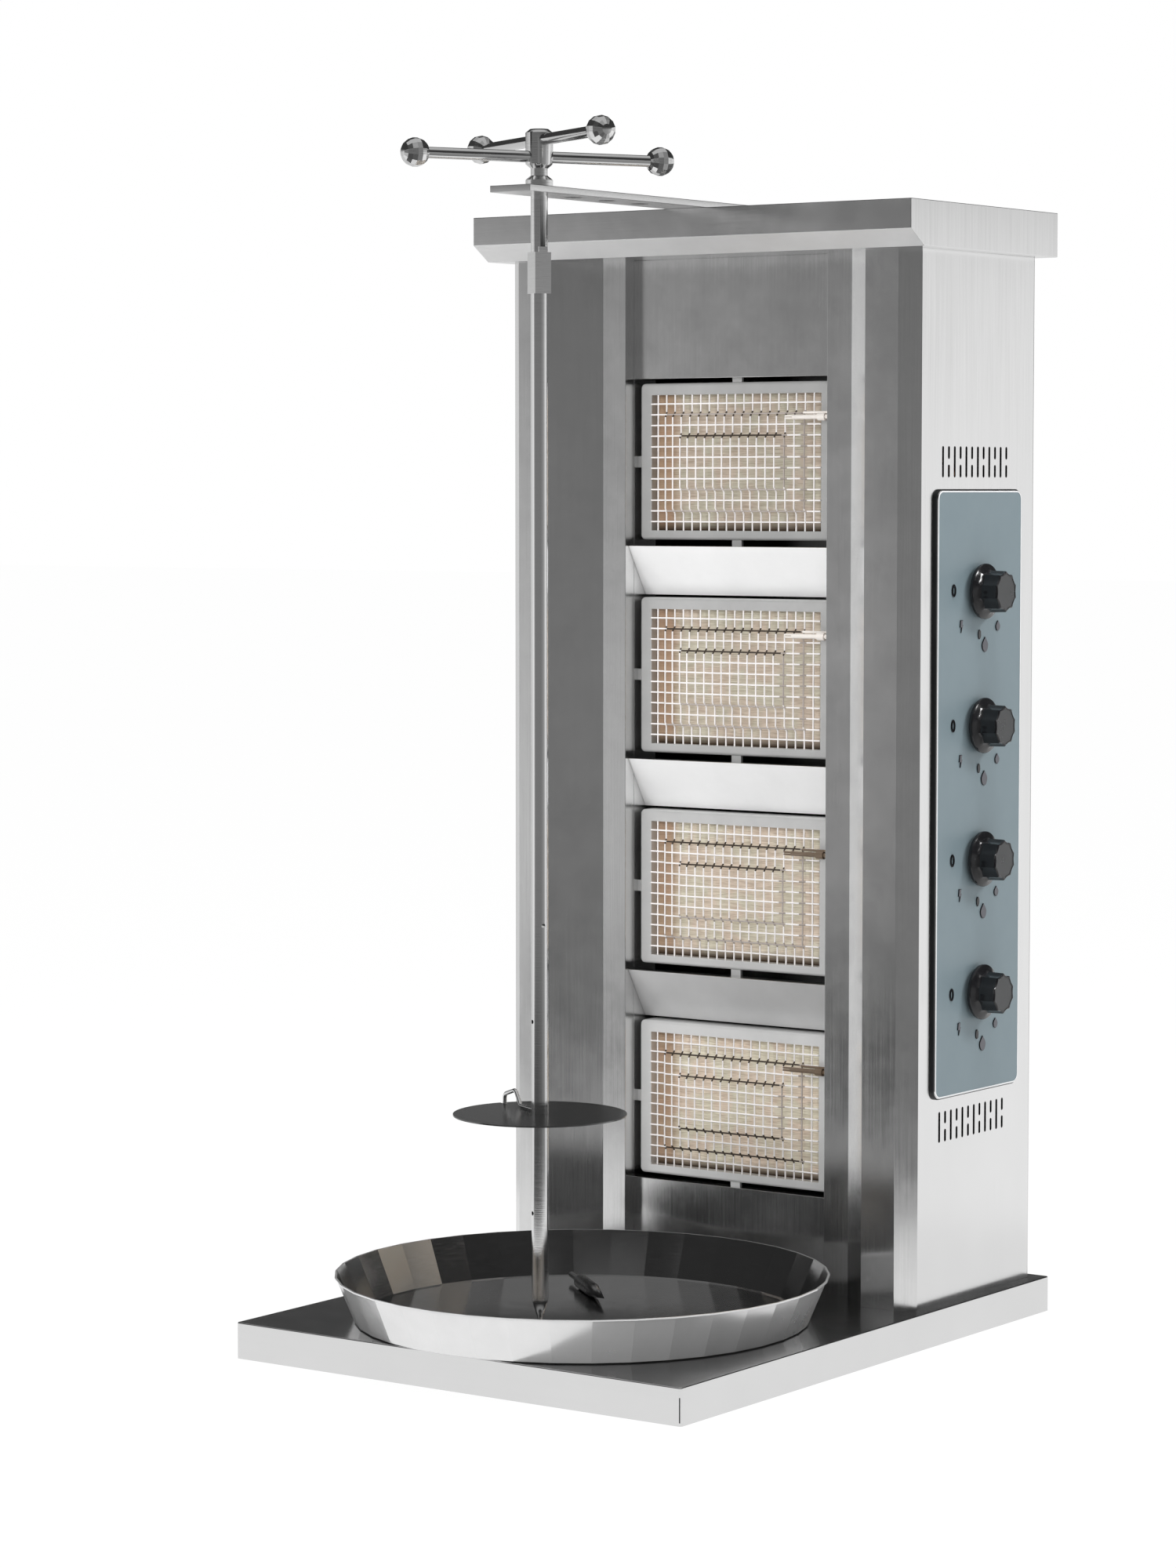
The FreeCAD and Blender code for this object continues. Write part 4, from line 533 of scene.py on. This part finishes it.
def make_tile(i):
    """A ceramic tile with fine ridges across its front."""
    (x0, y0, z0), (x1, y1, z1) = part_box("burner_tile_%d" % (i + 1))
    half_ridges = 2 * int((z1 - z0) / RIDGE_PITCH)

    def build(shape):
        heights = [z0 + (z1 - z0) * k / half_ridges for k in range(half_ridges + 1)]
        profile = [(y0 + (RIDGE_DEPTH if k % 2 else 0), z) for k, z in enumerate(heights)]
        profile += [(y1, z1), (y1, z0)]
        left, right = [[shape.verts.new((x, y, z)) for y, z in profile] for x in (x0, x1)]
        loop_faces(shape, left, right)
        shape.faces.new(left)
        shape.faces.new(right[::-1])

    piece = mesh_from("ridged_tile_%d" % (i + 1), build)
    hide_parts("burner_tile_%d" % (i + 1))
    return settle(piece, [ceramic(i)], "burner_tile_%d" % (i + 1), angle=50)


PLATE_CORNER = 10 * MM


def rounded_loop(y0, y1, z0, z1, radius, steps=8):
    """The points of a rounded rectangle in the plane of a side wall."""
    points = []
    for corner, (y, z) in enumerate(((y1, z1), (y0, z1), (y0, z0), (y1, z0))):
        centre = (y + (-radius if y == y1 else radius), z + (-radius if z == z1 else radius))
        for k in range(steps + 1):
            angle = math.pi / 2 * (corner + k / steps)
            points.append((centre[0] + radius * math.cos(angle), centre[1] + radius * math.sin(angle)))
    return points


def make_control_plate():
    """The control plate: dark side, eased grey edge, a pale line painted round its face as a highlight, and a
    blue-grey face.
    """
    (x0, y0, z0), (x1, y1, z1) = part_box("control_panel")
    dark, grey, pale, painted = range(4)
    # The pale ring on the face's edge is a painted highlight.
    rings = [(x0, 0, dark), (x1 - 2.0 * MM, 0, dark), (x1 - 1.1 * MM, 1.0 * MM, dark),
             (x1 - 0.3 * MM, 1.5 * MM, grey), (x1, 1.9 * MM, pale), (x1, 2.9 * MM, pale),
             (x1 - 0.25 * MM, 3.2 * MM, painted)]

    def build(shape):
        loops = []
        for x, inset, _ in rings:
            outline = rounded_loop(y0 + inset, y1 - inset, z0 + inset, z1 - inset, PLATE_CORNER - inset)
            loops.append([shape.verts.new((x, y, z)) for y, z in outline])
        for one, other, (_, _, finish) in zip(loops, loops[1:], rings[1:]):
            loop_faces(shape, one, other, finish)
        shape.faces.new(loops[-1]).material_index = painted
        shape.faces.new(loops[0][::-1])

    piece = mesh_from("control_plate", build)
    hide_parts("control_panel")
    return settle(piece, [plate_edge, cap_steel, plate_painted_highlight, plate_paint], "control_panel")


# A knob's outline from its foot to its face, in millimetres: height, radius, and share of the scoops' depth
KNOB_OUTLINE = ((0, 24.0, 0), (0, 26.2, 0), (0.8, 26.5, 0), (2.6, 26.5, 0), (3.4, 26.0, 0), (4.2, 24.6, 0),
                (5.2, 22.4, 0.1), (6.4, 20.6, 0.5), (8.0, 19.8, 1), (23.4, 19.4, 1), (24.4, 19.0, 1),
                (25.0, 18.2, 0.9), (25.0, 17.0, 0.6), (24.5, 16.6, 0.4))
KNOB_FOOT = PLATE_X + 4 * MM
SCOOPS = 10
SCOOP_DEPTH = 1.9


def make_knob(i):
    """A gloss knob: bell-shaped skirt, ten scoops round the grip, and a grey disc let into its face."""
    def reach(radius, share, angle):
        across_scoop = (angle * SCOOPS / (2 * math.pi) + 0.5) % 1.0
        return (radius - SCOOP_DEPTH * share * math.sin(math.pi * across_scoop)) * MM

    def build(shape):
        loops = []
        for height, radius, share in KNOB_OUTLINE:
            loop = []
            for angle in turns(120):
                out = reach(radius, share, angle)
                loop.append(shape.verts.new((KNOB_FOOT + height * MM, KNOB_Y + out * math.cos(angle),
                                             KNOB_Z[i] + out * math.sin(angle))))
            loops.append(loop)
        for one, other in zip(loops, loops[1:]):
            loop_faces(shape, one, other)
        shape.faces.new(loops[-1]).material_index = 1
        shape.faces.new(loops[0][::-1])

    name = "knob_%d" % (i + 1)
    piece = mesh_from(name + "_turned", build)
    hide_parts(name)
    return settle(piece, [black_gloss, knob_face], name, angle=25)


def oval(y, z, wide, tall):
    """The points of an upright oval."""
    return [(y + wide / 2 * math.cos(angle), z + tall / 2 * math.sin(angle)) for angle in turns(24)]


def flame(y, z, wide, tall):
    """The points of a flame: an oval that narrows towards its tip."""
    points = []
    for angle in turns(28):
        narrow = 1 - 0.75 * max(0.0, math.sin(angle)) ** 1.3
        points.append((y + wide / 2 * math.cos(angle) * narrow, z + tall / 2 * math.sin(angle)))
    return points


def bolt(y, z, scale):
    """The points of a spark."""
    corners = ((-1.6, 6.4), (2.4, 6.4), (1.2, 1.8), (3.2, 1.8), (-0.8, -6.4), (0.2, -0.8), (-2.8, -0.8))
    return [(y + a * scale, z + b * scale) for a, b in corners]


# The signs round a knob: outlines in millimetres from the knob's centre, each with its hole if it has one
SIGNS = {"zero": (oval(-49.2, 1.4, 7.2, 12.0), oval(-49.2, 1.4, 3.4, 8.0)),
         "spark": (bolt(-35.2, -32.7, 0.95), None),
         "dot": (oval(-1.5, -41, 4.8, 9.2), None),
         "large_flame": (flame(8.9, -50.7, 11.0, 14.4), None),
         "small_flame": (flame(33, -33.4, 8.0, 9.8), None)}
SIGN_FOOT = PLATE_X - 0.3 * MM
SIGN_TOP = PLATE_X + 0.9 * MM
SIGN_EDGE = SIGN_TOP - 0.2 * MM
TOP_SCALE = 0.94
HOLE_TOP_SCALE = 1.08


def make_sign(i, word):
    """One raised sign beside a knob, with eased edges; its face is grey unless the sign is gloss all over."""
    outline, hole = SIGNS[word]
    face, gloss = range(2)

    def rings(shape, points, top_scale):
        middle_y, middle_z = [sum(point[axis] for point in points) / len(points) for axis in (0, 1)]
        loops = []
        for x, scale in ((SIGN_FOOT, 1), (SIGN_EDGE, 1), (SIGN_TOP, top_scale)):
            loops.append([shape.verts.new((x, KNOB_Y + (middle_y + (y - middle_y) * scale) * MM,
                                           KNOB_Z[i] + (middle_z + (z - middle_z) * scale) * MM))
                          for y, z in points])
        return loops

    def build(shape):
        foot, edge, top = rings(shape, outline, TOP_SCALE)
        loop_faces(shape, foot, edge, gloss)
        loop_faces(shape, edge, top, gloss)
        if hole:
            hole_foot, hole_edge, hole_top = rings(shape, hole, HOLE_TOP_SCALE)
            loop_faces(shape, hole_edge, hole_foot, gloss)
            loop_faces(shape, hole_top, hole_edge, gloss)
            loop_faces(shape, top, hole_top, gloss)
            loop_faces(shape, hole_foot, foot, gloss)
        else:
            shape.faces.new(top).material_index = gloss if word == "dot" else face
            shape.faces.new(foot[::-1]).material_index = gloss

    settle(mesh_from("sign_%s_%d" % (word, i + 1), build), [sign_face, black_gloss], "control_panel")


BALL_RADIUS = 13.25 * MM
BALL_REACH = 123 * MM


def make_balls():
    """The four faceted balls on the ends of the cross bars."""
    count = 0
    for level, height in enumerate(BAR_LEVELS):
        angle = BAR_ANGLE + math.pi / 2 * (1 - level)
        for side in (-1, 1):
            count += 1
            way = Vector((math.cos(angle), math.sin(angle), 0)) * side
            centre = Vector((0, SPIT_Y, height)) + way * BALL_REACH
            along_bar = way.to_track_quat("Z", "Y").to_matrix().to_4x4()

            def build(shape):
                bmesh.ops.create_uvsphere(shape, u_segments=14, v_segments=9, radius=BALL_RADIUS,
                                          matrix=Matrix.Translation(centre) @ along_bar)

            piece = mesh_from("handle_ball_%d" % count, build)
            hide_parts("handle_balls")
            settle(piece, [spit_steel], "handle_balls", angle=5)


PAN_FLATS = 38
PAN_FOOT = 212.5 * MM
PAN_SHEET = 1 * MM


def make_pan():
    """The drip pan, spun from sheet in flats: floor, flared wall, a fine turned rim, and an inside darkened
    as painted shade.
    """
    (x0, y0, z0), (x1, y1, z1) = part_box("drip_pan")
    middle_x, middle_y = (x0 + x1) / 2, (y0 + y1) / 2
    rim = (x1 - x0) / 2
    outside = [(PAN_FOOT - 3 * MM, z0), (PAN_FOOT, z0 + 1.2 * MM), (rim - 1.6 * MM, z1 - 1.6 * MM),
               (rim, z1 - 1.2 * MM), (rim, z1), (rim - 2.0 * MM, z1)]
    inside = [(PAN_FOOT - 1.6 * MM, z0 + 1.8 * MM), (PAN_FOOT - 6 * MM, z0 + PAN_SHEET)]

    def build(shape):
        under = shape.verts.new((middle_x, middle_y, z0))
        loops = []
        for radius, z in outside + inside:
            loops.append([shape.verts.new((middle_x + radius * math.cos(angle),
                                           middle_y + radius * math.sin(angle), z))
                          for angle in turns(PAN_FLATS, 0.5)])
        over = shape.verts.new((middle_x, middle_y, z0 + PAN_SHEET))
        for k, (one, other) in enumerate(zip(loops, loops[1:])):
            loop_faces(shape, one, other, 0 if k + 1 < len(outside) else 1)
        for finish, (point, loop) in enumerate(((under, loops[0]), (over, loops[-1]))):
            for k in range(PAN_FLATS):
                face = shape.faces.new((point, loop[k], loop[(k + 1) % PAN_FLATS]))
                face.material_index = finish

    piece = mesh_from("drip_pan_spun", build)
    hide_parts("drip_pan")
    return settle(piece, [pan_steel, pan_inside_painted_shade], "drip_pan", angle=4)


def make_seam():
    """The open seam where the base's folded rims meet, at the front right corner."""
    (x0, y0, z0), (x1, y1, z1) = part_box("base_deck")
    width, depth = 0.9 * MM, 0.6 * MM
    top, bottom = z1 - 9 * MM, z0 + 3 * MM

    def build(shape):
        place = Matrix.Translation((x1 - 1.6 * MM, y0 + 0.2 * MM, (top + bottom) / 2))
        size = Matrix.Diagonal((width, depth, top - bottom, 1))
        bmesh.ops.create_cube(shape, size=1, matrix=place @ size)

    return settle(mesh_from("base_corner_seam", build), [plate_edge], "base_deck")


# How bright the studio is in each direction round the object, as (share of a turn, tone), counted from -X
BACK_TONES = ((0.62, 0.92), (0.66, 0.97), (0.7, 0.93), (0.84, 0.8), (0.9, 0.68), (1.0, 0.6))
ROOM_TONES = ((0.0, 0.6), (0.08, 0.85), (0.125, 0.85), (0.138, 0.62), (0.148, 0.38), (0.152, 0.27),
              (0.16, 0.24), (0.17, 0.22), (0.2, 0.2), (0.4, 0.2), (0.5, 0.3)) + BACK_TONES
WALL_TONES = ((0.0, 0.6), (0.08, 0.85), (0.138, 0.85), (0.148, 0.52), (0.152, 0.33), (0.16, 0.28),
              (0.17, 0.25), (0.2, 0.2), (0.4, 0.2), (0.5, 0.3)) + BACK_TONES
FLOOR_TONES = ((0.0, 0.6), (0.08, 0.85), (0.12, 0.8), (0.126, 0.6), (0.132, 0.28), (0.138, 0.11),
               (0.15, 0.08), (0.27, 0.07), (0.38, 0.12), (0.5, 0.24)) + BACK_TONES
WHITE = (1, 1, 1)

# The floor's size, its tone near the object as metal mirrors it, and the distances over which that tone turns
# into the room's and then into the walls'
FLOOR_REACH = 30.0
MIRRORED_FLOOR = (0.86, 0.86, 0.86)
NEAR_FLOOR = (0.8, 0.95)
FAR_FLOOR = (2.0, 4.0)

# How brightly the floor glows for the camera, and the share of that glow in it beside the lamps' light
FLOOR_GLOW = 1.03
GLOW_SHARE = 0.93

# How steep the directions are where the walls turn into the ceiling, and the ceiling into its paler middle
WALL_TOP = (0.06, 0.14)
CEILING_MIDDLE = (0.65, 0.85)


def around_tone(tree, x, y, tones):
    """The tone of the studio in a direction, from the direction's x and y."""
    angle = worked_out(tree, "ARCTAN2", y, x)
    ramp = tree.nodes.new("ShaderNodeValToRGB")
    stops = ramp.color_ramp.elements
    while len(stops) < len(tones):
        stops.new(0.5)
    for stop, (place, tone) in zip(stops, tones):
        stop.position = place
        stop.color = (tone, tone, tone, 1)
    tree.links.new(ranged(tree, angle, 0, 1, -math.pi, math.pi), ramp.inputs["Fac"])
    return ramp.outputs["Color"]


def shining(tree, kind, colour, strength=1.0):
    """A shader that shines with a colour."""
    source = tree.nodes.new(kind)
    feed(tree, source.inputs["Color"], colour)
    source.inputs["Strength"].default_value = strength
    return source.outputs[0]


def mixed_shader(tree, weight, first, second):
    """One shader or another, by a weight."""
    mix = tree.nodes.new("ShaderNodeMixShader")
    feed(tree, mix.inputs["Fac"], weight)
    tree.links.new(first, mix.inputs[1])
    tree.links.new(second, mix.inputs[2])
    return mix.outputs["Shader"]


def seen_directly(tree, path):
    """Whether a light path starts at the camera, straight or through something clear."""
    return worked_out(tree, "MAXIMUM", path.outputs["Is Camera Ray"], path.outputs["Is Transmission Ray"])


def make_floor():
    """A pale floor that keeps a soft shadow of the object.

    Metal mirrors it as an even pale tone near the object, and in the tones of the room further off.
    """
    mesh = bpy.data.meshes.new("studio_floor")
    corners = [(x * FLOOR_REACH, y * FLOOR_REACH, 0) for x, y in ((-1, -1), (1, -1), (1, 1), (-1, 1))]
    mesh.from_pydata(corners, [], [(0, 1, 2, 3)])
    floor = link("studio_floor", mesh)
    material, tree, shader = new_material("pale_floor")
    shader.inputs["Base Color"].default_value = (0.9, 0.9, 0.9, 1)
    shader.inputs["Roughness"].default_value = 0.9
    glow = shining(tree, "ShaderNodeEmission", WHITE, FLOOR_GLOW)
    bright = mixed_shader(tree, GLOW_SHARE, shader.outputs["BSDF"], glow)
    place, x, y, _ = place_of(tree)
    length = tree.nodes.new("ShaderNodeVectorMath")
    length.operation = "LENGTH"
    tree.links.new(place, length.inputs[0])
    distance = length.outputs["Value"]
    tone = blended(tree, ranged(tree, distance, 0, 1, *FAR_FLOOR), around_tone(tree, x, y, FLOOR_TONES),
                   around_tone(tree, x, y, WALL_TONES))
    tone = blended(tree, ranged(tree, distance, 0, 1, *NEAR_FLOOR), MIRRORED_FLOOR, tone)
    room = shining(tree, "ShaderNodeEmission", tone)
    path = tree.nodes.new("ShaderNodeLightPath")
    unmirrored = mixed_shader(tree, seen_directly(tree, path), shader.outputs["BSDF"], bright)
    whole = mixed_shader(tree, path.outputs["Is Glossy Ray"], unmirrored, room)
    tree.links.new(whole, tree.nodes["Material Output"].inputs["Surface"])
    mesh.materials.append(material)


def make_world():
    """White where the camera looks, a room where metal mirrors it, and an even light for all else.

    The room's walls are pale behind the object and grey in front, and its ceiling is dark but for its middle.
    """
    world = bpy.data.worlds.new("studio")
    bpy.context.scene.world = world
    world.use_nodes = True
    tree = world.node_tree
    soft = shining(tree, "ShaderNodeBackground", WHITE, 0.55)
    _, x, y, z = place_of(tree, "Generated")
    ceiling = blended(tree, ranged(tree, z, 0, 1, *CEILING_MIDDLE), (0.04, 0.04, 0.04), (0.5, 0.5, 0.5))
    tone = blended(tree, ranged(tree, z, 0, 1, *WALL_TOP), around_tone(tree, x, y, ROOM_TONES), ceiling)
    room = shining(tree, "ShaderNodeBackground", tone)
    white = shining(tree, "ShaderNodeBackground", WHITE)
    path = tree.nodes.new("ShaderNodeLightPath")
    lit = mixed_shader(tree, path.outputs["Is Glossy Ray"], soft, room)
    whole = mixed_shader(tree, seen_directly(tree, path), lit, white)
    tree.links.new(whole, tree.nodes["World Output"].inputs["Surface"])


def make_lamp(name, place, aim, size, power, mirrored=False):
    """A square soft box, which metal mirrors only where that is asked."""
    data = bpy.data.lights.new(name, "AREA")
    data.size = size
    data.energy = power
    lamp = bpy.data.objects.new(name, data)
    lamp.location = place
    lamp.rotation_euler = (Vector(aim) - Vector(place)).to_track_quat("-Z", "Y").to_euler()
    lamp.visible_glossy = mirrored
    bpy.context.scene.collection.objects.link(lamp)
    return lamp


def make_lamps(knobs):
    """Three soft boxes for the whole object, and one that shines on the knobs alone."""
    make_lamp("key_box", (2.6, 1.4, 2.6), (0, 0, 0.5), 0.8, 45)
    make_lamp("top_box", (0.9, -0.3, 3.0), (0, 0, 0.5), 0.5, 20)
    knob_lamp = make_lamp("knob_box", (4.9, 1.7, 4.0), (0.25, 0.2, 0.6), 1.5, 190, mirrored=True)
    knob_lamp.light_linking.receiver_collection = knobs
    make_lamp("front_box", (-0.6, -3.4, 1.6), (0, 0, 0.3), 1.6, 75)


def make_camera():
    """The photograph's camera, solved from the object's straight edges."""
    focal_px, width_px = 5415.62, 1500
    sensor_width = 36
    look_down, look_left = 3.9715, 35.5516
    data = bpy.data.cameras.new("view")
    data.sensor_fit = "HORIZONTAL"
    data.sensor_width = sensor_width
    data.lens = sensor_width * focal_px / width_px
    data.clip_end = 100
    camera = bpy.data.objects.new("view", data)
    camera.location = (2.28398, -3.30482, 0.80598)
    camera.rotation_euler = (math.radians(90 - look_down), 0, math.radians(look_left))
    bpy.context.scene.collection.objects.link(camera)
    bpy.context.scene.camera = camera


for name, material in NODE_MATERIALS.items():
    dress(name, material)
for i in range(BURNERS):
    for net in make_net(i):
        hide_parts("burner_screen_%d" % (i + 1))
    make_tile(i)
make_control_plate()
shiny = bpy.data.collections.new("shiny_knobs")
for i in range(BURNERS):
    shiny.objects.link(make_knob(i))
    for word in SIGNS:
        make_sign(i, word)
make_balls()
make_pan()
make_seam()
make_floor()
make_world()
make_lamps(shiny)
make_camera()
bpy.context.scene.view_settings.view_transform = "Standard"
